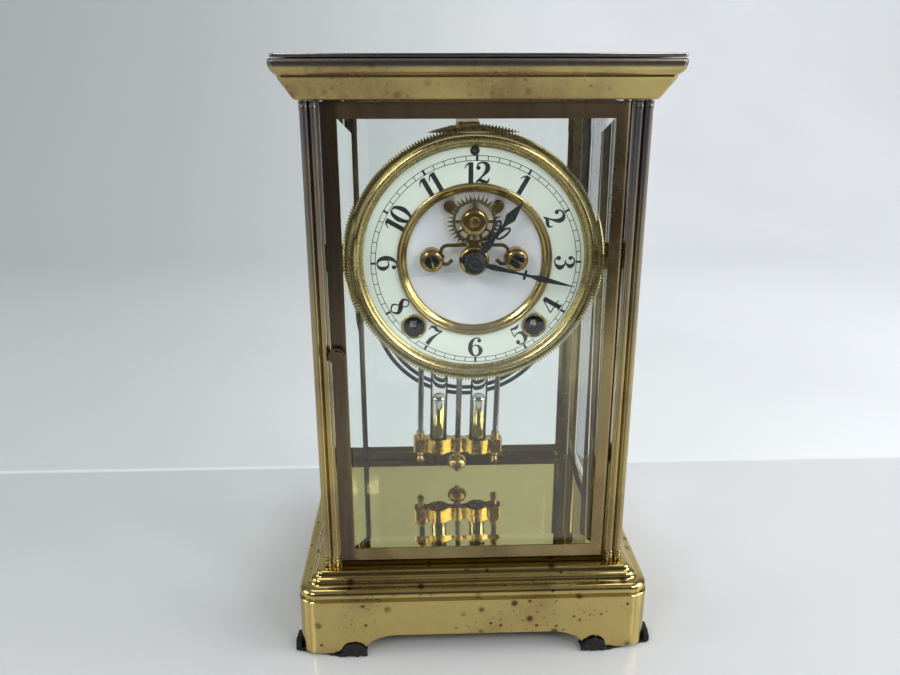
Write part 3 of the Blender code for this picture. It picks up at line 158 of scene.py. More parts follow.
def brass(name, light=(0.60, 0.48, 0.20), dark=(0.20, 0.125, 0.06), rough=(0.10, 0.30), age=0.45,
          spots=0.0, above=None, left=None):
    """Polished brass with brown tarnish in soft patches, fine streaks and, if asked, dark spots.

    above and left are (place in mm, softness in mm, colour): past that place that colour takes over in
    streaks; on the posts and the cornice it is painted shade, on the doors a redder brown and a darker left
    edge.
    """
    s = Surface(name)
    broad = s.noise(28.0, 4.0)
    fine = s.noise(330.0, 5.0, roughness=0.65)
    streaks = s.noise(240.0, 2.0, (1.0, 1.0, 0.08))
    worn = s.remap(broad, 0.80 - age, 1.20 - age)
    patch = s.math("MULTIPLY", worn, s.remap(fine, 0.25, 0.75, 0.55, 1.0))
    base = s.blend(patch, light, dark)
    base = s.blend(s.remap(fine, 0.3, 0.8, 0.0, 0.22), base, (0.42, 0.32, 0.12))
    # past a given place a colour takes over: painted shade for the posts and cornice
    for limit, axis, sign in ((above, "Z", 1), (left, "X", -1)):
        if limit:
            place, soft = limit[0] * MM, limit[1] * MM
            amount = s.remap(s.axis(axis), place - soft, place + soft, (1 - sign) / 2, (1 + sign) / 2)
            stain_and_painted_shade = s.math("MULTIPLY", amount, s.remap(streaks, 0.3, 0.6, 0.75, 1.0))
            base = s.blend(stain_and_painted_shade, base, limit[2])
            patch = s.math("MAXIMUM", patch, stain_and_painted_shade)
    roughness = s.remap(s.math("MAXIMUM", patch, s.remap(fine, 0.35, 0.9)), 0.0, 1.0, rough[0], rough[1])
    if spots:
        marks = s.math("MULTIPLY", s.remap(s.cells(95.0), 0.21, 0.10), s.remap(broad, 0.38, 0.50))
        small = s.math("MULTIPLY", s.remap(s.cells(170.0), 0.19, 0.09), s.remap(broad, 0.40, 0.52))
        marks = s.math("MAXIMUM", marks, small)
        halo = s.math("MULTIPLY", s.remap(s.cells(95.0), 0.32, 0.10), s.remap(broad, 0.38, 0.54))
        pits = s.math("MULTIPLY", s.remap(s.cells(420.0), 0.22, 0.11), s.remap(broad, 0.44, 0.60))
        base = s.blend(s.math("MULTIPLY", halo, 0.35 * spots), base, (0.30, 0.20, 0.08))
        marks = s.math("MULTIPLY", s.math("MAXIMUM", marks, pits), 0.85 * spots)
        base = s.blend(marks, base, (0.075, 0.032, 0.02))
    s.set(Base_Color=base, Roughness=roughness, Metallic=1.0)
    s.bump(s.noise(900.0, 2.0, (1.0, 1.0, 0.15)), 0.00002, 0.25)
    return s.material


def steel(name, tone=(0.50, 0.50, 0.50), stain=(0.20, 0.19, 0.18), rough=(0.16, 0.38), metallic=1.0):
    s = Surface(name)
    fine = s.noise(420.0, 4.0)
    s.set(Base_Color=s.blend(s.remap(fine, 0.35, 0.75), tone, stain),
          Roughness=s.remap(fine, 0.2, 0.8, rough[0], rough[1]), Metallic=metallic)
    s.bump(s.noise(1500.0, 2.0, (1.0, 0.2, 1.0)), 0.00002, 0.2)
    return s.material


def enamel(name, tone, shade, gloss=0.06, painted_top_shade=None):
    """Fired enamel: glassy, faintly mottled, with a soft orange-peel surface.

    The last argument is (height in mm, softness in mm, colour) of painted shade above that height, darkening
    the top as if it lay in shadow.
    """
    s = Surface(name)
    cloud = s.noise(45.0, 3.0)
    base = s.blend(s.remap(cloud, 0.3, 0.75), tone, shade)
    # painted shade: above the given height the colour darkens, standing in for the shade over the top of a
    # recess
    if painted_top_shade:
        height, soft = painted_top_shade[0] * MM, painted_top_shade[1] * MM
        base = s.blend(s.remap(s.axis("Z"), height - soft, height + soft), base, painted_top_shade[2])
    s.set(Base_Color=base,
          Roughness=s.remap(s.noise(240.0, 3.0), 0.3, 0.8, gloss, gloss + 0.10), Coat_Weight=0.6,
          Coat_Roughness=0.03)
    s.bump(s.noise(180.0, 1.0), 0.00004, 0.12)
    return s.material


def clear_glass(name, tint=(0.95, 0.985, 0.97), smudge=0.03, bend=1.5):
    """Real refracting glass that still lets lamp light through to what it covers."""
    s = Surface(name)
    s.set(Base_Color=colour(tint), Transmission_Weight=1.0, IOR=bend,
          Roughness=s.remap(s.noise(60.0, 4.0), 0.55, 0.9, 0.0, smudge))
    see = s.node("BsdfTransparent")
    see.inputs["Color"].default_value = (0.93, 0.96, 0.94, 1.0)
    mixed = s.node("MixShader")
    path = s.node("LightPath")
    s.feed(mixed.inputs["Fac"], path.outputs["Is Shadow Ray"])
    s.feed(mixed.inputs[1], s.shader.outputs["BSDF"])
    s.feed(mixed.inputs[2], see.outputs["BSDF"])
    s.feed(s.tree.nodes["Material Output"].inputs["Surface"], mixed.outputs["Shader"])
    return s.material


def ink(name, tone=(0.012, 0.013, 0.018), gloss=0.35):
    s = Surface(name)
    fine = s.noise(700.0, 3.0)
    s.set(Base_Color=s.blend(s.remap(fine, 0.4, 0.8), tone, (0.035, 0.037, 0.045)),
          Roughness=s.remap(fine, 0.2, 0.8, gloss, gloss + 0.2))
    return s.material


def felt(name):
    s = Surface(name)
    fibres = s.noise(2600.0, 6.0, roughness=0.8)
    s.set(Base_Color=s.blend(s.remap(fibres, 0.35, 0.75), (0.0025, 0.0025, 0.003), (0.014, 0.014, 0.018)),
          Roughness=0.95, Sheen_Weight=0.08, Sheen_Roughness=0.6)
    s.bump(fibres, 0.0004, 0.9)
    return s.material


MOVEMENT = dict(light=(0.66, 0.52, 0.25), dark=(0.30, 0.20, 0.09), rough=(0.2, 0.36), age=0.30)
materials = {
    "base": brass("base", (0.56, 0.43, 0.16), (0.24, 0.13, 0.06), (0.12, 0.28), 0.34, spots=1.0),
    # painted shade: the rim's upright top is darkened to slate above 265 mm, standing in for the dark room it
    # reflects
    "cornice": brass("cornice", (0.50, 0.39, 0.15), (0.22, 0.14, 0.07), (0.16, 0.34), 0.46, spots=0.4,
                     above=(265.2, 0.9, (0.20, 0.18, 0.17))),
    "top": brass("top", (0.34, 0.31, 0.31), (0.19, 0.17, 0.18), (0.16, 0.32), 0.50, spots=0.3),
    "floor_plate": brass("floor_plate", (0.58, 0.49, 0.18), (0.40, 0.31, 0.11), (0.025, 0.09), 0.18),
    # painted shade: darker and greyer towards the top, standing in for the dark room the upper posts reflect
    "posts": brass("posts", (0.46, 0.36, 0.15), (0.20, 0.14, 0.08), (0.12, 0.30), 0.42,
                   above=(170.0, 75.0, (0.17, 0.155, 0.15))),
    "doors": brass("doors", (0.34, 0.26, 0.12), (0.17, 0.12, 0.065), (0.16, 0.34), 0.46,
                   above=(215.0, 70.0, (0.36, 0.26, 0.17)), left=(-56.0, 2.0, (0.115, 0.085, 0.065))),
    "bezel": brass("bezel", (0.50, 0.40, 0.18), (0.38, 0.29, 0.13), (0.26, 0.32), 0.20),
    "rope": brass("rope", (0.60, 0.48, 0.22), (0.30, 0.21, 0.10), (0.16, 0.30), 0.30),
    "groove": brass("groove", (0.05, 0.035, 0.022), (0.03, 0.02, 0.014), (0.4, 0.55), 0.45),
    "inner_ring": brass("inner_ring", (0.54, 0.42, 0.18), (0.34, 0.24, 0.11), (0.16, 0.28), 0.26),
    "movement": brass("movement", **MOVEMENT),
    "wheels": brass("wheels", (0.60, 0.50, 0.22), (0.26, 0.19, 0.09), (0.2, 0.38), 0.30),
    "bridge": brass("bridge", (0.50, 0.34, 0.13), (0.20, 0.12, 0.05), (0.16, 0.32), 0.42),
    "knob": brass("knob", (0.17, 0.12, 0.08), (0.08, 0.055, 0.04), (0.25, 0.45), 0.5),
    "pendulum": brass("pendulum", (0.52, 0.37, 0.13), (0.28, 0.18, 0.07), (0.24, 0.36), 0.32),
    "steel": steel("steel"),
    "rods": steel("rods", (0.34, 0.31, 0.28), (0.18, 0.16, 0.14), (0.14, 0.3)),
    "blued": steel("blued", (0.045, 0.06, 0.085), (0.02, 0.02, 0.025), (0.22, 0.4)),
    "gong": steel("gong", (0.055, 0.065, 0.065), (0.025, 0.025, 0.022), (0.24, 0.42), 0.7),
    "silver": steel("silver", (0.80, 0.78, 0.70), (0.62, 0.58, 0.48), (0.05, 0.14)),
    "enamel": enamel("enamel", (0.86, 0.90, 0.84), (0.80, 0.85, 0.78)),
    # painted shade: the porcelain centre darkens above 206 mm, standing in for the shade at the top of its
    # recess
    "porcelain": enamel("porcelain", (0.86, 0.86, 0.92), (0.76, 0.76, 0.85), 0.10,
                        (206.0, 13.0, (0.42, 0.39, 0.40))),
    "ink": ink("ink"),
    "hands": ink("hands", (0.005, 0.006, 0.009), 0.34),
    # painted shade: near-black standing in for the shadowed insides of the holes
    "shade": ink("shade", (0.010, 0.008, 0.007), 0.5),
    "glass": clear_glass("glass"),
    "vials": clear_glass("vials", (0.98, 0.99, 0.98), 0.01, 1.22),
    "felt": felt("felt"),
}


def paint(piece, key):
    piece.data.materials.clear()
    piece.data.materials.append(materials[key])
    return piece


# ================================================================ shapes
def made(bm, name, key, body, angle=35.0, replaces=None):
    """Finish a bmesh as a piece that rides on a body."""
    bmesh.ops.recalc_face_normals(bm, faces=bm.faces)
    mesh = bpy.data.meshes.new(name)
    bm.to_mesh(mesh)
    bm.free()
    mesh.shade_smooth()
    mesh.set_sharp_from_angle(angle=radians(angle))
    piece = bpy.data.objects.new(name, mesh)
    bpy.context.scene.collection.objects.link(piece)
    paint(piece, key)
    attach(piece, body)
    if replaces:
        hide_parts(replaces)
    return piece


def smooth_line(points, steps=6, closed=False):
    """A Catmull-Rom curve through points of any number of values."""
    count = len(points)
    last = count if closed else count - 1
    line = []
    for i in range(last):
        if closed:
            four = [points[(i + k) % count] for k in (-1, 0, 1, 2)]
        else:
            four = [points[max(0, min(count - 1, i + k))] for k in (-1, 0, 1, 2)]
        for step in range(steps):
            t = step / steps
            weights = ((-t + 2 * t * t - t ** 3) / 2, (2 - 5 * t * t + 3 * t ** 3) / 2,
                       (t + 4 * t * t - 3 * t ** 3) / 2, (t ** 3 - t * t) / 2)
            line.append(tuple(sum(w * p[n] for w, p in zip(weights, four)) for n in range(len(points[0]))))
    return line if closed else line + [tuple(points[-1])]


def rings(bm, loops, closed=False, caps=True):
    """Join loops of equal length into a skin, closing the ends with faces unless the run is closed."""
    pairs = list(zip(loops, loops[1:])) + ([(loops[-1], loops[0])] if closed else [])
    for low, high in pairs:
        for i in range(len(low)):
            j = (i + 1) % len(low)
            bm.faces.new((low[i], low[j], high[j], high[i]))
    if caps and not closed:
        bm.faces.new(loops[0][::-1])
        bm.faces.new(loops[-1])


def face_on(right, up, forward, centre=(0.0, 0.0)):
    """A point from (right, up) of the dial's centre and a distance forward of the middle plane."""
    return Vector(((centre[0] + right) * MM, -forward * MM, (DIAL + centre[1] + up) * MM))


def lathe(name, profile, key, body, steps=64, centre=(0.0, 0.0), closed=True, angle=35.0, replaces=None):
    """A turned piece on an axis from front to back; profile is (radius, forward)."""
    bm = bmesh.new()
    loops = []
    for radius, forward in profile:
        loop = []
        for i in range(steps):
            turn = 2 * pi * i / steps
            loop.append(bm.verts.new(face_on(radius * cos(turn), radius * sin(turn), forward, centre)))
        loops.append(loop)
    rings(bm, loops, closed)
    return made(bm, name, key, body, angle, replaces)


def rounded_rectangle(half, radius, steps):
    points = []
    for side, end, start in ((1, 1, 0), (-1, 1, 90), (-1, -1, 180), (1, -1, 270)):
        centre = (side * (half[0] - radius), end * (half[1] - radius))
        for i in range(steps + 1):
            turn = radians(start + 90 * i / steps)
            points.append((centre[0] + radius * cos(turn), centre[1] + radius * sin(turn)))
    return points


def loft(name, sections, key, body, angle=35.0, replaces=None):
    """A skin through (height, outline) sections."""
    bm = bmesh.new()
    loops = [[bm.verts.new((u * MM, v * MM, height * MM)) for u, v in outline]
             for height, outline in sections]
    rings(bm, loops)
    return made(bm, name, key, body, angle, replaces)


def cut_with(piece, cutter):
    """Cut a piece with a hidden solid and keep the result as plain mesh."""
    step = piece.modifiers.new("Cut", "BOOLEAN")
    step.operation = "DIFFERENCE"
    step.solver = "EXACT"
    step.object = cutter
    apply_modifiers(piece)
    bpy.data.objects.remove(cutter)


def apply_modifiers(piece):
    result = bpy.data.meshes.new_from_object(piece.evaluated_get(bpy.context.evaluated_depsgraph_get()))
    piece.modifiers.clear()
    old = piece.data
    piece.data = result
    bpy.data.meshes.remove(old)


def refined(node, key, width=0.25, segments=2):
    """A copy of a CAD node with its edges rounded, as handling and polishing leave them."""
    bm = bmesh.new()
    bm.from_mesh(nodes[node].data)
    bmesh.ops.remove_doubles(bm, verts=bm.verts, dist=0.000002)
    bmesh.ops.dissolve_limit(bm, angle_limit=radians(0.5), verts=bm.verts, edges=bm.edges)
    piece = made(bm, node + "_finish", key, body_of[node], 35.0, node)
    bevel = piece.modifiers.new("Edges", "BEVEL")
    bevel.width = width * MM
    bevel.segments = segments
    bevel.limit_method = "ANGLE"
    bevel.angle_limit = radians(40)
    bevel.harden_normals = True
    apply_modifiers(piece)
    return piece


def solid_box(name, low, high):
    """A plain solid used only to cut with."""
    bm = bmesh.new()
    bmesh.ops.create_cube(bm, size=1.0)
    size, middle = Vector(high) - Vector(low), (Vector(high) + Vector(low)) / 2
    for corner in bm.verts:
        corner.co = Vector((corner.co.x * size.x, corner.co.y * size.y, corner.co.z * size.z)) + middle
        corner.co *= MM
    mesh = bpy.data.meshes.new(name)
    bm.to_mesh(mesh)
    bm.free()
    cutter = bpy.data.objects.new(name, mesh)
    bpy.context.scene.collection.objects.link(cutter)
    return cutter


# ================================================================ case
def arch_cutter(name, flat_half, foot_half, length, along_x):
    """A solid in the shape of the opening between two bracket feet."""
    bottom, top = 1.0, 10.8
    right = [(foot_half, bottom - 5.0)]
    for i in range(17):
        turn = pi / 2 * i / 16
        right.append((flat_half + (foot_half - flat_half) * cos(turn), bottom + (top - bottom) * sin(turn)))
    outline = right + [(-u, v) for u, v in reversed(right)]
    bm = bmesh.new()
    loops = []
    for end in (-length, length):
        spots = [(end, u, v) if along_x else (u, end, v) for u, v in outline]
        loops.append([bm.verts.new(Vector(spot) * MM) for spot in spots])
    rings(bm, loops)
    bmesh.ops.recalc_face_normals(bm, faces=bm.faces)
    mesh = bpy.data.meshes.new(name)
    bm.to_mesh(mesh)
    bm.free()
    cutter = bpy.data.objects.new(name, mesh)
    bpy.context.scene.collection.objects.link(cutter)
    return cutter


def make_base():
    """Plinth with its run of rolls, cut by the four arches and hollow underneath."""
    half, corner = (82.25, 68.25), 9.0
    rolls = [(0.0, 29.2), (0.4, 29.65), (1.2, 29.95), (1.25, 30.3), (0.6, 30.8), (0.3, 31.8), (0.45, 33.0),
             (1.1, 34.0), (2.2, 34.7), (3.6, 34.95), (4.5, 35.2), (5.0, 35.8), (5.3, 36.5), (5.5, 37.1),
             (6.1, 37.8), (6.9, 38.15), (7.4, 38.6), (7.8, 39.4), (8.1, 40.0), (8.6, 40.45), (9.3, 40.68)]
    profile = [(1.6, 1.0), (0.25, 1.15), (0.0, 1.6), (0.0, 10.0), (0.0, 20.0)] + smooth_line(rolls, 3)
    profile += [(12.0, 40.7), (30.0, 40.7)]
    sections = []
    for inset, height in profile:
        outline = rounded_rectangle((half[0] - inset, half[1] - inset), max(corner - inset * 0.7, 2.5), 12)
        sections.append((height, outline))
    base = loft("base_finish", sections, "base", "case", 30.0, "base")
    cut_with(base, arch_cutter("front_arch", 36.0, 52.6, 80.0, False))
    cut_with(base, arch_cutter("side_arch", 24.0, 40.0, 90.0, True))
    cut_with(base, solid_box("hollow", (-78.2, -64.2, -5.0), (78.2, 64.2, 26.0)))
    base.data.shade_smooth()
    base.data.set_sharp_from_angle(angle=radians(30.0))


def make_cornice():
    """Cove with fillets above it, open on top where the plate lies."""
    cove = [(70.8, 252.6), (71.6, 252.65), (72.3, 253.0), (72.9, 253.8), (73.5, 254.8), (74.3, 256.1),
            (75.3, 257.7), (76.3, 259.3), (77.0, 260.4), (77.3, 261.2)]
    step = [(77.35, 261.6), (77.4, 262.0), (77.9, 262.15)]
    rim = [(78.4, 262.6), (79.0, 263.2), (79.6, 264.1), (80.0, 265.2), (80.2, 266.4), (80.15, 267.4),
           (79.8, 267.95), (79.3, 268.2)]
    profile = smooth_line(cove, 3) + step + smooth_line(rim, 3) + [(60.0, 268.2)]
    sections = [(height, rounded_rectangle((half, half - 14.0), 2.6, 6)) for half, height in profile]
    cornice = loft("cornice_finish", sections, "cornice", "case", 30.0, "cornice")
    cut_with(cornice, solid_box("tray", (-66.0, -52.0, 256.6), (66.0, 52.0, 275.0)))
    cornice.data.shade_smooth()
    cornice.data.set_sharp_from_angle(angle=radians(30.0))


def reed(centre, radius, start, end, steps=8):
    turns = [radians(start + (end - start) * i / steps) for i in range(steps + 1)]
    return [(centre[0] + radius * cos(t), centre[1] + radius * sin(t)) for t in turns]


def post_section():
    """Section of the front right post: three reeds, a plain inner side and the glass groove."""
    points = [(62.9, -48.5), (62.9, -55.2)]
    points += reed((65.0, -54.9), 1.45, 200, 345)
    points += reed((68.6, -54.5), 1.85, 195, 435, 14)
    points += reed((68.85, -50.9), 1.5, -75, 75)
    return points + [(70.1, -49.3), (70.1, -48.5), (68.9, -48.5), (68.9, -50.0), (65.7, -50.0), (65.7, -48.5)]


def make_posts():
    """Reeded posts with a ringed foot and a small capital."""
    bottom, top = 41.0, 252.3
    rise = [(0.0, 0.45), (1.1, 0.45), (1.35, 0.05), (1.6, 0.0), (1.9, 0.3), (2.5, 0.42), (3.1, 0.3),
            (3.4, 0.0), (3.7, 0.3), (4.3, 0.42), (4.9, 0.3), (5.2, 0.0)]
    steps = [(bottom + up, grow) for up, grow in rise]
    steps += [(top - up, grow * 0.4) for up, grow in reversed(rise[:8])]
    for name, side, end in (("post_front_right", 1, 1), ("post_front_left", -1, 1),
                            ("post_rear_right", 1, -1), ("post_rear_left", -1, -1)):
        sections = []
        for height, grow in steps:
            scale = 1 + grow / 8.0
            outline = [(side * (62.9 + (u - 62.9) * scale), end * (-48.5 + (v + 48.5) * scale))
                       for u, v in post_section()]
            sections.append((height, outline))
        loft(name + "_finish", sections, "posts", "case", 32.0, name)


def make_case_details():
    refined("top_plate", "top", 0.5, 3)
    paint(nodes["floor_plate"], "floor_plate")
    for side in ("front", "rear"):
        refined(side + "_door_frame", "doors", 0.35, 3)
        refined(side + "_door_knob", "knob", 0.3, 3)
        paint(nodes[side + "_door_glass"], "glass")
    for side in ("left", "right"):
        paint(nodes[side + "_glass"], "glass")


def make_felt():
    """Felt with a torn, fibrous outline; its side ends creep round the plinth's corners and stay low."""
    side_from, creep, thick = 81.5 * MM, 7.5 * MM, 2.4 * MM
    for name in ("foot_pad_front_left", "foot_pad_front_right", "foot_pad_rear_left", "foot_pad_rear_right"):
        bm = bmesh.new()
        bm.from_mesh(nodes[name].data)
        bmesh.ops.remove_doubles(bm, verts=bm.verts, dist=0.000002)
        for corner in bm.verts:
            if abs(corner.co.x) > side_from:
                corner.co.y += creep if corner.co.y > 0 else -creep
                if corner.co.z > thick:
                    corner.co.z = thick + (corner.co.z - thick) * 0.55
        piece = made(bm, name + "_felt", "felt", "case", 180.0, name)
        skin = piece.modifiers.new("Skin", "REMESH")
        skin.mode = "VOXEL"
        skin.voxel_size = 0.00030
        apply_modifiers(piece)
        for corner in piece.data.vertices:
            shift = noise.noise_vector(corner.co * 1500.0) * 0.00030
            shift += noise.noise_vector(corner.co * 420.0) * 0.00045
            corner.co += shift
            corner.co.z = max(corner.co.z, 0.0)
        piece.data.shade_smooth()


# ================================================================ dial
def toothed_ring(name, inner, outer, back, front, count):
    """A knurled bead round the bezel: rounded radial teeth with dark grooves between them."""
    wave = (0.0, 0.15, 0.65, 1.0, 0.65, 0.15)       # how far into a groove, over one tooth
    depth = outer - inner
    middle, half = (back + front) / 2, (front - back) / 2
    around = count * len(wave)
    bm = bmesh.new()
    loops = []
    for i in range(around):
        turn = 2 * pi * i / around
        reach = outer - depth * wave[i % len(wave)] * 0.62
        loop = []
        for angle in (-90, -60, -30, 0, 30, 60, 90):
            size = inner + (reach - inner) * cos(radians(angle)) ** 0.6 if abs(angle) < 90 else inner
            forward = middle + half * sin(radians(angle))
            loop.append(bm.verts.new(face_on(size * cos(turn), size * sin(turn), forward)))
        for forward in (front - 0.3, back + 0.3):
            root = inner - 0.9
            loop.append(bm.verts.new(face_on(root * cos(turn), root * sin(turn), forward)))
        loops.append(loop)
    rings(bm, loops, closed=True)
    piece = made(bm, name, "rope", "case", 30.0)
    piece.data.materials.append(materials["groove"])
    corners = piece.data.vertices
    for face in piece.data.polygons:
        farthest = max(hypot(corners[v].co.x, corners[v].co.z - DIAL * MM) / MM for v in face.vertices)
        if farthest < outer - depth * 0.26 and abs(-face.center.y / MM - middle) < half * 0.8:
            face.material_index = 1
    return piece


def make_bezel():
    rise = smooth_line([(48.3, 41.0), (48.45, 41.5), (49.1, 42.1), (49.9, 43.1), (50.8, 43.8), (51.6, 43.95),
                        (52.4, 43.55), (53.0, 42.7), (53.1, 42.1)], 5)
    waist = smooth_line([(53.6, 41.9), (54.5, 41.3), (54.5, 40.8), (53.9, 40.3), (53.9, 39.8), (54.6, 39.4),
                         (54.7, 38.2), (54.5, 36.8), (54.0, 36.4)], 3)
    back = [(52.0, 36.4), (52.0, 37.7), (46.0, 37.7), (46.0, 38.9), (49.3, 38.9), (49.3, 40.95)]
    bezel = lathe("bezel_finish", rise + waist + back, "bezel", "case", 192, replaces="dial_bezel")
    notch = lathe("notch_cutter", [(2.1, 30.0), (2.1, 50.0)], "shade", "case", 24, RATING_HOLE, closed=False)
    cut_with(bezel, notch)
    bezel.data.shade_smooth()
    bezel.data.set_sharp_from_angle(angle=radians(35.0))
    toothed_ring("rope_front", 53.7, 55.9, 41.2, 43.5, 250)
    toothed_ring("rope_rear", 53.9, 56.15, 37.0, 39.3, 250)
    profile = smooth_line([(29.7, 38.3), (30.2, 39.2), (31.6, 40.2), (32.3, 41.0), (32.5, 41.6),
                           (33.2, 41.85), (33.8, 41.5), (33.95, 41.0)], 4)
    off_centre = (0.3, -0.5)
    lathe("inner_ring_finish", profile + [(33.0, 40.9), (33.0, 38.3)], "inner_ring", "case", 144,
          off_centre, replaces="inner_ring")


def annulus(name, inner, outer, back, front, key, centre=(0.0, 0.0), steps=128, holes=()):
    section = [(inner, back), (inner, front), (outer, front), (outer, back)]
    piece = lathe(name, section, key, "case", steps, centre)
    for number, (spot, radius) in enumerate(holes):
        line = [(radius, back - 2), (radius, front + 2)]
        cutter = lathe(f"{name}_cutter_{number}", line, "shade", "case", 40, spot, closed=False)
        cut_with(piece, cutter)
    return piece


def strip(bm, points, widths, front, back, closed=False):
    """A raised line of changing width; points are (right, up) pairs from the dial's centre."""
    count = len(points)
    loops = []
    for i, (u, v) in enumerate(points):
        before = points[(i - 1) % count] if closed else points[max(i - 1, 0)]
        after = points[(i + 1) % count] if closed else points[min(i + 1, count - 1)]
        run, rise = after[0] - before[0], after[1] - before[1]
        length = hypot(run, rise) or 1.0
        across = (-rise / length * widths[i] / 2, run / length * widths[i] / 2)
        corners = ((1, front), (-1, front), (-1, back), (1, back))
        loops.append([bm.verts.new(face_on(u + side * across[0], v + side * across[1], forward))
                      for side, forward in corners])
    rings(bm, loops, closed)


def dot(bm, centre, radius, front, back):
    """A raised round spot."""
    spots = [(centre[0] + radius * cos(pi * i / 9), centre[1] + radius * sin(pi * i / 9))
             for i in range(18)]
    loops = []
    for forward in (front, back):
        loops.append([bm.verts.new(face_on(u, v, forward)) for u, v in spots])
    rings(bm, loops)


THIN, BOLD = 0.05, 0.205
# each numeral is strokes of (right, up, width) and round terminals of (right, up, radius)
GLYPHS = {
    "0": ([[(0.0, 1.0, THIN), (-0.15, 0.90, 0.13), (-0.235, 0.5, BOLD), (-0.15, 0.10, 0.13), (0.0, 0.0, THIN),
            (0.15, 0.10, 0.13), (0.235, 0.5, BOLD), (0.15, 0.90, 0.13), (0.0, 1.0, THIN)]], []),
    "1": ([[(0.05, 0.0, BOLD), (0.05, 0.5, BOLD), (0.05, 1.0, BOLD)],
           [(0.0, 0.97, 0.07), (-0.12, 0.88, 0.06), (-0.22, 0.70, 0.03)]], []),
    "2": ([[(-0.25, 0.70, THIN), (-0.17, 0.92, 0.07), (0.02, 0.99, 0.09), (0.20, 0.86, 0.19),
            (0.20, 0.62, 0.20), (0.02, 0.36, 0.09), (-0.26, 0.06, THIN)],
           [(-0.27, 0.04, THIN), (-0.12, 0.14, 0.13), (0.08, 0.06, 0.15), (0.22, 0.06, 0.10),
            (0.30, 0.24, 0.03)]], [(-0.17, 0.73, 0.09)]),
    "3": ([[(-0.25, 0.80, THIN), (-0.13, 0.96, 0.06), (0.05, 0.99, 0.08), (0.20, 0.80, 0.19),
            (0.08, 0.58, 0.07), (-0.08, 0.53, THIN)],
           [(-0.08, 0.54, THIN), (0.12, 0.50, 0.08), (0.25, 0.27, 0.22), (0.10, 0.03, 0.08),
            (-0.10, 0.01, 0.06), (-0.26, 0.18, THIN)]], [(-0.17, 0.78, 0.085), (-0.17, 0.20, 0.095)]),
    "4": ([[(0.08, 0.0, BOLD), (0.08, 0.5, BOLD), (0.08, 1.0, BOLD)],
           [(0.02, 0.99, THIN), (-0.16, 0.66, THIN), (-0.34, 0.31, THIN)],
           [(-0.34, 0.30, THIN), (0.0, 0.30, THIN), (0.32, 0.30, THIN)],
           [(-0.10, 0.02, 0.05), (0.08, 0.02, 0.05), (0.26, 0.02, 0.05)]], []),
    "5": ([[(-0.19, 1.0, 0.05), (-0.02, 0.93, 0.13), (0.12, 0.94, 0.12), (0.25, 1.03, 0.03)],
           [(-0.17, 0.99, THIN), (-0.19, 0.76, THIN), (-0.20, 0.53, THIN)],
           [(-0.20, 0.53, THIN), (0.0, 0.63, 0.07), (0.19, 0.52, 0.17), (0.24, 0.29, 0.22),
            (0.10, 0.04, 0.09), (-0.10, 0.01, 0.06), (-0.26, 0.17, THIN)]], [(-0.17, 0.19, 0.09)]),
    "6": ([[(0.24, 0.84, THIN), (0.14, 0.97, 0.05), (-0.04, 0.95, 0.08), (-0.20, 0.70, 0.18),
            (-0.23, 0.36, BOLD), (-0.14, 0.09, 0.13), (0.02, 0.0, 0.06), (0.18, 0.10, 0.13),
            (0.235, 0.31, 0.19), (0.14, 0.53, 0.10), (-0.02, 0.58, 0.05), (-0.16, 0.50, THIN)]],
          [(0.17, 0.83, 0.09)]),
    "7": ([[(-0.27, 0.90, 0.07), (-0.12, 0.99, 0.15), (0.06, 0.90, 0.13), (0.28, 0.99, 0.04)],
           [(-0.27, 0.99, THIN), (-0.27, 0.88, THIN), (-0.28, 0.74, THIN)],
           [(0.27, 0.98, THIN), (0.12, 0.66, 0.08), (0.01, 0.34, 0.17), (-0.03, 0.0, BOLD)]], []),
    "8": ([[(0.17, 0.80, 0.06), (0.10, 0.95, 0.05), (-0.05, 0.99, 0.06), (-0.18, 0.82, 0.12),
            (-0.08, 0.62, 0.19), (0.10, 0.45, 0.21), (0.22, 0.24, 0.15), (0.10, 0.03, 0.07),
            (-0.06, 0.01, 0.06), (-0.22, 0.22, 0.08), (-0.10, 0.44, 0.05), (0.08, 0.60, 0.05),
            (0.17, 0.80, 0.06)]], []),
}
GLYPHS["9"] = ([[(-u, 1 - v, w) for u, v, w in stroke] for stroke in GLYPHS["6"][0]],
               [(-u, 1 - v, r) for u, v, r in GLYPHS["6"][1]])
ADVANCE = {"0": 0.68, "1": 0.46}


def numeral(bm, hour, front, back):
    """Print an hour's figures radially, upside down over the lower half of the dial."""
    turn = radians(30 * hour)
    flip = -1 if 4 <= hour <= 8 else 1
    outward, along = (sin(turn) * flip, cos(turn) * flip), (cos(turn) * flip, -sin(turn) * flip)
    height, wide = 8.7, 10.0
    foot = 34.5 if flip == 1 else 43.2
    figures = str(hour)
    start = -sum(ADVANCE.get(f, 0.62) for f in figures) / 2

    def spot(u, v):
        up = flip * foot + v * height
        return tuple(PRINT[k] + along[k] * u * wide + outward[k] * up for k in (0, 1))

    for figure in figures:
        middle = start + ADVANCE.get(figure, 0.62) / 2
        start += ADVANCE.get(figure, 0.62)
        strokes, terminals = GLYPHS[figure]
        for stroke in strokes:
            line = smooth_line(stroke, 7)
            strip(bm, [spot(middle + u, v) for u, v, width in line], [width * wide for u, v, width in line],
                  front, back)
        for u, v, radius in terminals:
            dot(bm, spot(middle + u, v), radius * wide, front, back)


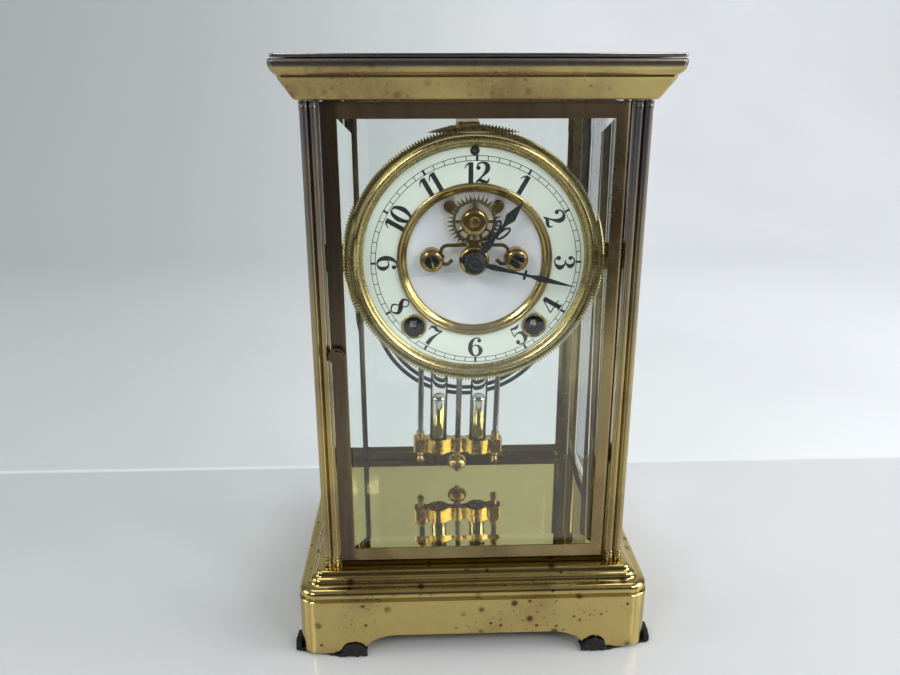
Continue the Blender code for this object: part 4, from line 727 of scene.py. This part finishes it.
def make_dial():
    """Enamel ring with printed minute track and figures, eyelets and the porcelain centre."""
    holes = [(spot, KEY_HOLE_RADIUS) for spot in KEY_HOLES] + [(RATING_HOLE, 1.7)]
    ring = annulus("chapter_ring_finish", 33.3, 49.0, ENAMEL_FACE - 1.45, ENAMEL_FACE, "enamel", holes=holes)
    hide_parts("chapter_ring")
    front, back = ENAMEL_FACE + 0.035, ENAMEL_FACE - 0.2

    def clear(point):
        """Whether the printing may run here, clear of both key holes."""
        room = KEY_HOLE_RADIUS + 0.5
        return all(hypot(point[0] - spot[0], point[1] - spot[1]) > room for spot in KEY_HOLES)

    bm = bmesh.new()
    for hour in range(1, 13):
        numeral(bm, hour, front, back)
    made(bm, "figures", "ink", "case", 30.0)

    bm = bmesh.new()
    width = 0.28
    for radius in TRACK:
        circle = [(PRINT[0] + radius * cos(2 * pi * i / 240), PRINT[1] + radius * sin(2 * pi * i / 240))
                  for i in range(240)]
        runs, run = [], []
        for point in circle:
            if clear(point):
                run.append(point)
            elif run:
                runs.append(run)
                run = []
        runs.append(run)
        for points in runs:
            if len(points) > 2:
                strip(bm, points, [width] * len(points), front, back)
        if runs[0] and runs[-1]:
            strip(bm, [runs[-1][-1], runs[0][0]], [width] * 2, front, back)
    for minute in range(60):
        turn = radians(6 * minute)
        ends, width = ((43.7, 46.2), 1.0) if minute % 5 == 0 else (TRACK, 0.34)
        line = [(PRINT[0] + r * sin(turn), PRINT[1] + r * cos(turn)) for r in ends]
        if all(clear(point) for point in line):
            strip(bm, line, [width] * 2, front, back)
    made(bm, "minute_track", "ink", "case", 30.0)

    for side, spot in zip(("right", "left"), KEY_HOLES):
        lip = smooth_line([(4.75, 40.3), (4.75, 40.9), (5.05, 41.15), (5.45, 41.1), (5.65, 40.75)], 4)
        lathe(f"{side}_eyelet", lip + [(5.65, 40.66), (5.3, 40.6), (5.3, 37.3), (4.75, 37.3)], "rope",
              "case", 48, spot)
        # painted shade: a near-black cup behind each eyelet stands in for the shadowed inside of the key hole
        cup = [(2.3, 36.9), (2.3, 37.2), (4.7, 37.2), (4.74, 40.2), (5.2, 40.2), (5.2, 36.9)]
        lathe(f"{side}_key_cup", cup, "shade", "case", 40, spot)
    lathe("rating_eyelet", [(1.15, 39.4), (1.15, 40.8), (1.5, 41.0), (1.95, 40.8), (2.0, 40.66), (1.6, 40.6),
                            (1.6, 39.4)], "shade", "case", 32, RATING_HOLE)
    holes = [(ESCAPE_ARBOR, 1.5), ((10.5, 22.9), 2.6), ((-10.5, 22.9), 2.6)]
    centre = annulus("dial_centre_finish", 3.3, 34.0, 36.6, 38.0, "porcelain", holes=holes)
    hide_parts("dial_centre")


def screw(name, spot, radius, seat, tilt, key="blued", body="case", height=1.0):
    """A slotted screw head seen face-on."""
    profile = [(0.05, seat - 0.4), (radius, seat - 0.4), (radius, seat + height * 0.55),
               (radius * 0.86, seat + height * 0.9), (radius * 0.5, seat + height), (0.05, seat + height)]
    head = lathe(name, profile, key, body, 32, spot, closed=False)
    slot = solid_box(name + "_slot", (-radius * 1.3, -seat - height - 1.0, -radius * 0.15),
                     (radius * 1.3, -seat - height * 0.35, radius * 0.15))
    slot.data.transform(Matrix.Rotation(radians(tilt), 4, "Y"))
    slot.data.transform(Matrix.Translation(Vector((spot[0], 0.0, DIAL + spot[1])) * MM))
    cut_with(head, slot)
    return head


def make_escapement_details():
    """Domed, ringed bosses and blued screws on the bridge."""
    refined("escapement_bridge", "bridge", 0.16, 2)
    paint(nodes["escape_wheel"], "wheels")
    dome = smooth_line([(1.9, 44.1), (2.2, 44.35), (3.0, 44.45), (4.4, 44.3), (5.5, 43.7), (6.05, 42.9)], 4)
    lathe("escape_boss", dome + [(6.05, 42.6), (1.9, 42.6)], "bridge", "case", 64, ESCAPE_ARBOR)
    lathe("escape_setting", [(0.05, 43.9), (0.9, 43.9), (1.3, 44.3), (1.9, 44.3), (1.9, 43.0), (0.05, 43.0)],
          "pendulum", "case", 40, ESCAPE_ARBOR, closed=False)
    collar = smooth_line([(3.2, 43.9), (4.2, 44.1), (5.6, 43.9), (6.4, 43.2), (6.6, 42.6)], 4)
    lathe("centre_boss", collar + [(6.6, 41.9), (4.4, 41.4), (3.2, 41.4)], "bridge", "case", 64)
    for side, tilt in (("right", 30.0), ("left", 75.0)):
        spot = (18.4 if side == "right" else -18.4, 0.0)
        rim = smooth_line([(3.0, 43.6), (3.2, 43.95), (3.7, 44.0), (4.6, 43.4), (5.2, 42.3), (5.3, 41.2)], 4)
        lathe(f"{side}_boss", rim + [(5.3, 38.2), (3.0, 38.2)], "bridge", "case", 56, spot)
        screw(f"{side}_bridge_screw", spot, 2.95, 43.5, tilt, height=0.7)


def make_hands():
    for node in ("hour_hand", "minute_hand"):
        refined(node, "hands", 0.12, 2)
    nut = smooth_line([(0.05, 49.5), (1.3, 49.45), (1.5, 49.2), (2.1, 49.2), (2.4, 49.4), (3.2, 49.3),
                       (3.5, 48.9), (4.3, 48.8), (4.7, 48.4), (4.7, 47.5)], 3)
    lathe("hand_nut_finish", [(0.05, 47.5)] + nut[::-1], "hands", "minute_arbor", 56, closed=False,
          replaces="hand_nut")


# ================================================================ movement
def make_movement():
    for node in ("front_plate", "back_plate", "mounting_ring", "suspension_cock", "crutch"):
        refined(node, "movement", 0.18, 2)
    for node in ("time_barrel", "strike_barrel", "plate_pillar_1", "plate_pillar_2", "plate_pillar_3"):
        paint(nodes[node], "movement")
    for node in ("second_wheel", "centre_wheel", "third_wheel", "minute_wheel", "hour_wheel", "pin_wheel",
                 "fly"):
        paint(nodes[node], "wheels")
    for node in ("time_winding_arbor", "strike_winding_arbor", "regulator_arbor", "hammer", "gong_post",
                 "suspension_spring"):
        paint(nodes[node], "steel")
    refined("pallet_anchor", "bridge", 0.12, 2)
    for number, angle in enumerate((25.0, 155.0, 270.0), 1):
        spot = (45.0 * cos(radians(angle)), 45.0 * sin(radians(angle)))
        profile = [(1.35, -2.4), (1.35, -1.65), (2.7, -1.65), (2.7, -3.0), (2.3, -3.5), (1.35, -3.5)]
        lathe(f"pillar_nut_{number}", profile, "steel", "case", 6, spot, angle=20.0)


def make_gong():
    """The same spiral as the solid one, drawn with many more points."""
    radius, pitch, turns, wire, post = 51.0, 3.5, 2.2, 1.1, (14.0, 152.3)
    centre, last, bend = 139.4, 28.9, 8.0
    inner = radius - pitch * turns
    count = 190
    line = []
    for i in range(count + 1):
        along = i / count
        angle = radians(last + 360 * turns * (1 - along))
        size = inner + pitch * turns * (1 - along)
        line.append((size * cos(angle), centre + size * sin(angle)))
    right, level = line[-1][0], post[1]
    line[-1] = (right, level + bend)
    for i in range(1, 9):
        turn = radians(-90 * i / 8)
        line.append((right - bend + bend * cos(turn), level + bend + bend * sin(turn)))
    line.append((post[0] + 5.3, level))
    curve = bpy.data.curves.new("gong_finish", "CURVE")
    curve.dimensions = "3D"
    curve.bevel_depth = wire * MM
    curve.bevel_resolution = 3
    curve.use_fill_caps = True
    spline = curve.splines.new("POLY")
    spline.points.add(len(line) - 1)
    for spot, (x, z) in zip(spline.points, line):
        spot.co = (x * MM, 38.0 * MM, z * MM, 1.0)
    gong = bpy.data.objects.new("gong_finish", curve)
    bpy.context.scene.collection.objects.link(gong)
    gong.data.materials.append(materials["gong"])
    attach(gong, "case")
    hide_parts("gong")


# ================================================================ pendulum
def hung(x, height, y=0.0):
    """A point of the pendulum, given for the vertical position, where it hangs in its swing."""
    below = Vector((x, 0.0, height - PIVOT_HEIGHT))
    swung = Matrix.Rotation(radians(PENDULUM_LEAN), 3, "Y") @ below
    return Vector((swung.x, y + PENDULUM_BACK, swung.z + PIVOT_HEIGHT)) * MM


def hanging_lathe(name, profile, x, key, steps=40, body="pendulum", replaces=None):
    """A turned piece on an upright axis of the pendulum; profile is (radius, height)."""
    bm = bmesh.new()
    loops = []
    for radius, height in profile:
        turns = [2 * pi * i / steps for i in range(steps)]
        loops.append([bm.verts.new(hung(x + radius * cos(t), height, radius * sin(t))) for t in turns])
    rings(bm, loops)
    return made(bm, name, key, body, 40.0, replaces)


def make_pendulum():
    hanger = refined("pendulum_frame", "pendulum", 0.2, 2)
    hanger.data.materials.append(materials["rods"])
    for face in hanger.data.polygons:
        if 70.5 < face.center.z / MM < 134.5:
            face.material_index = 1
    for side, name in ((-1, "left"), (1, "right")):
        low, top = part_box(name + "_vial")
        low, top = low.z / MM + 0.1, top.z / MM
        tube = [(0.05, low), (4.0, low), (4.6, low + 0.7), (4.65, low + 1.2), (4.65, top - 0.3), (4.5, top),
                (4.3, top), (4.22, top - 0.3), (4.22, low + 1.4), (3.8, low + 0.7), (0.05, low + 0.6)]
        hanging_lathe(name + "_vial_finish", tube, side * VIAL_SPACING, "vials", 56,
                      replaces=name + "_vial")
        top = 93.5
        column = [(0.05, 64.5), (3.7, 64.5), (4.1, 65.2), (4.1, top - 1.9), (3.9, top - 1.0),
                  (3.2, top - 0.3), (1.8, top + 0.05), (0.05, top + 0.15)]
        hanging_lathe(name + "_mercury_finish", column, side * VIAL_SPACING, "silver", 48,
                      replaces=name + "_mercury")
        for tag, low in (("lower", 70.9), ("upper", 134.0)):
            ring = [(1.6, low), (2.2, low), (2.4, low + 0.6), (2.2, low + 1.2), (1.6, low + 1.2)]
            hanging_lathe(f"{name}_{tag}_bead", ring, side * ROD_SPACING, "pendulum", 32)
    nut = smooth_line([(0.05, 47.4), (1.2, 48.0), (1.6, 48.9), (2.4, 49.7), (4.4, 51.0), (5.25, 52.4),
                       (5.35, 53.3), (5.1, 54.4), (4.4, 55.7), (3.0, 57.0), (2.6, 57.4)], 4)
    hanging_lathe("rating_nut_finish", nut + [(1.9, 57.4), (1.9, 50.7), (0.05, 50.7)], 0.0, "pendulum", 48,
                  "rating_nut", "rating_nut")


# ================================================================ set
def make_stage():
    """Pale table that runs into a curved backdrop."""
    seam, turn_at, bend, top = 0.125, 0.75, 0.6, 2.4
    line = [(-1.8, 0.0), (-0.6, 0.0), (seam, 0.0), (turn_at, 0.0)]
    for i in range(1, 17):
        turn = radians(90 * i / 16)
        line.append((turn_at + bend * sin(turn), bend * (1 - cos(turn))))
    line.append((turn_at + bend, top))
    bm = bmesh.new()
    rows = [[bm.verts.new((side * 2.6, y, z)) for side in (-1, 1)] for y, z in line]
    for low, high in zip(rows, rows[1:]):
        bm.faces.new((low[0], low[1], high[1], high[0]))
    mesh = bpy.data.meshes.new("backdrop")
    bm.to_mesh(mesh)
    bm.free()
    mesh.shade_smooth()
    stage = bpy.data.objects.new("backdrop", mesh)
    bpy.context.scene.collection.objects.link(stage)
    s = Surface("backdrop")
    behind = s.remap(s.axis("Y"), seam, seam + 0.002)
    line_here = s.math("MULTIPLY", s.remap(s.axis("Y"), seam - 0.003, seam),
                       s.remap(s.axis("Y"), seam + 0.004, seam))
    # painted light: wall and table are coloured darker to the left and paler to the right, as the light from
    # the right window falls
    wall = s.blend(s.remap(s.axis("X"), -0.55, 0.35), (0.60, 0.63, 0.635), (0.90, 0.925, 0.95))
    floor = s.blend(s.remap(s.axis("X"), -0.30, 0.30), (0.64, 0.66, 0.67), (0.74, 0.755, 0.77))
    pale = s.blend(behind, floor, wall)
    pale = s.blend(s.remap(s.noise(3.0, 2.0), 0.3, 0.8, 0.0, 0.22), pale, (0.62, 0.64, 0.66))
    s.set(Base_Color=s.blend(line_here, pale, (0.90, 0.92, 0.94)),
          Roughness=s.remap(behind, 0.0, 1.0, 0.22, 0.8))
    stage.data.materials.append(s.material)


def soft_light(name, place, target, size, power, tint=(1.0, 1.0, 1.0)):
    lamp = bpy.data.lights.new(name, "AREA")
    lamp.shape = "RECTANGLE"
    lamp.size, lamp.size_y = size
    lamp.energy = power
    lamp.color = tint
    holder = bpy.data.objects.new(name, lamp)
    holder.location = place
    holder.rotation_euler = (Vector(target) - Vector(place)).to_track_quat("-Z", "Y").to_euler()
    bpy.context.scene.collection.objects.link(holder)


def make_flag():
    """A dark card behind the camera, seen only in reflections, so that polished metal has contrast."""
    bm = bmesh.new()
    corners = ((-0.75, -0.5, 0.02), (0.75, -0.5, 0.02), (0.75, -0.56, 0.45), (-0.75, -0.56, 0.45))
    bm.faces.new([bm.verts.new(corner) for corner in corners])
    mesh = bpy.data.meshes.new("flag")
    bm.to_mesh(mesh)
    bm.free()
    flag = bpy.data.objects.new("flag", mesh)
    bpy.context.scene.collection.objects.link(flag)
    flag.visible_camera = False
    flag.visible_shadow = False
    flag.visible_diffuse = False
    s = Surface("flag")
    s.set(Base_Color=s.blend(s.remap(s.noise(6.0), 0.3, 0.7), (0.05, 0.045, 0.04), (0.11, 0.10, 0.09)),
          Roughness=s.remap(s.noise(20.0), 0.3, 0.7, 0.85, 0.95))
    flag.data.materials.append(s.material)


def make_light():
    soft_light("window_right", (1.35, -0.35, 0.75), (0.0, 0.05, 0.15), (0.9, 1.1), 16.0, (1.0, 1.0, 1.0))
    soft_light("window_left", (-1.45, -0.25, 0.70), (0.0, 0.05, 0.15), (0.7, 0.9), 5.5, (0.97, 1.0, 1.0))
    soft_light("top", (0.0, 0.25, 1.5), (0.0, 0.0, 0.0), (1.4, 0.5), 5.0)
    for side, name in ((-1, "left"), (1, "right")):
        soft_light("front_" + name, (side * 0.8, -1.0, 0.95), (0.0, 0.0, 0.12), (0.4, 0.3), 4.5)
    world = bpy.data.worlds.new("studio")
    world.use_nodes = True
    bpy.context.scene.world = world
    tree = world.node_tree
    place = tree.nodes.new("ShaderNodeTexCoord")
    split = tree.nodes.new("ShaderNodeSeparateXYZ")
    tree.links.new(place.outputs["Generated"], split.inputs[0])
    ramp = tree.nodes.new("ShaderNodeValToRGB")
    ramp.color_ramp.elements[0].position = 0.48
    ramp.color_ramp.elements[0].color = (0.13, 0.12, 0.115, 1.0)
    ramp.color_ramp.elements[1].position = 0.95
    ramp.color_ramp.elements[1].color = (0.34, 0.35, 0.36, 1.0)
    middle = ramp.color_ramp.elements.new(0.62)
    middle.color = (0.20, 0.20, 0.20, 1.0)
    lift = tree.nodes.new("ShaderNodeMath")
    lift.operation = "MULTIPLY_ADD"
    lift.inputs[1].default_value = 0.5
    lift.inputs[2].default_value = 0.5
    tree.links.new(split.outputs["Z"], lift.inputs[0])
    tree.links.new(lift.outputs[0], ramp.inputs["Fac"])
    tree.links.new(ramp.outputs["Color"], tree.nodes["Background"].inputs["Color"])
    tree.nodes["Background"].inputs["Strength"].default_value = 0.8
    bpy.context.scene.view_settings.view_transform = "Standard"


def make_camera():
    """Slightly left of centre, above the top, looking down and a little to the right."""
    yaw, pitch, roll = 0.036, 0.321, -0.001
    lens = bpy.data.cameras.new("camera")
    lens.sensor_width = 36.0
    lens.lens = 32.8
    lens.clip_start = 0.01
    camera = bpy.data.objects.new("camera", lens)
    ahead = Vector((sin(yaw) * cos(pitch), cos(yaw) * cos(pitch), -sin(pitch)))
    right = Vector((cos(yaw), -sin(yaw), 0.0))
    above = right.cross(ahead)
    pose = Matrix((right, above, -ahead)).transposed().to_4x4()
    place = Matrix.Translation((-0.0231, -0.3913, 0.2657))
    camera.matrix_world = place @ pose @ Matrix.Rotation(roll, 4, "Z")
    bpy.context.scene.collection.objects.link(camera)
    bpy.context.scene.camera = camera


make_camera()
make_base()
make_cornice()
make_posts()
make_case_details()
make_felt()
make_bezel()
make_dial()
make_escapement_details()
make_hands()
make_movement()
make_gong()
make_pendulum()
make_stage()
make_flag()
make_light()
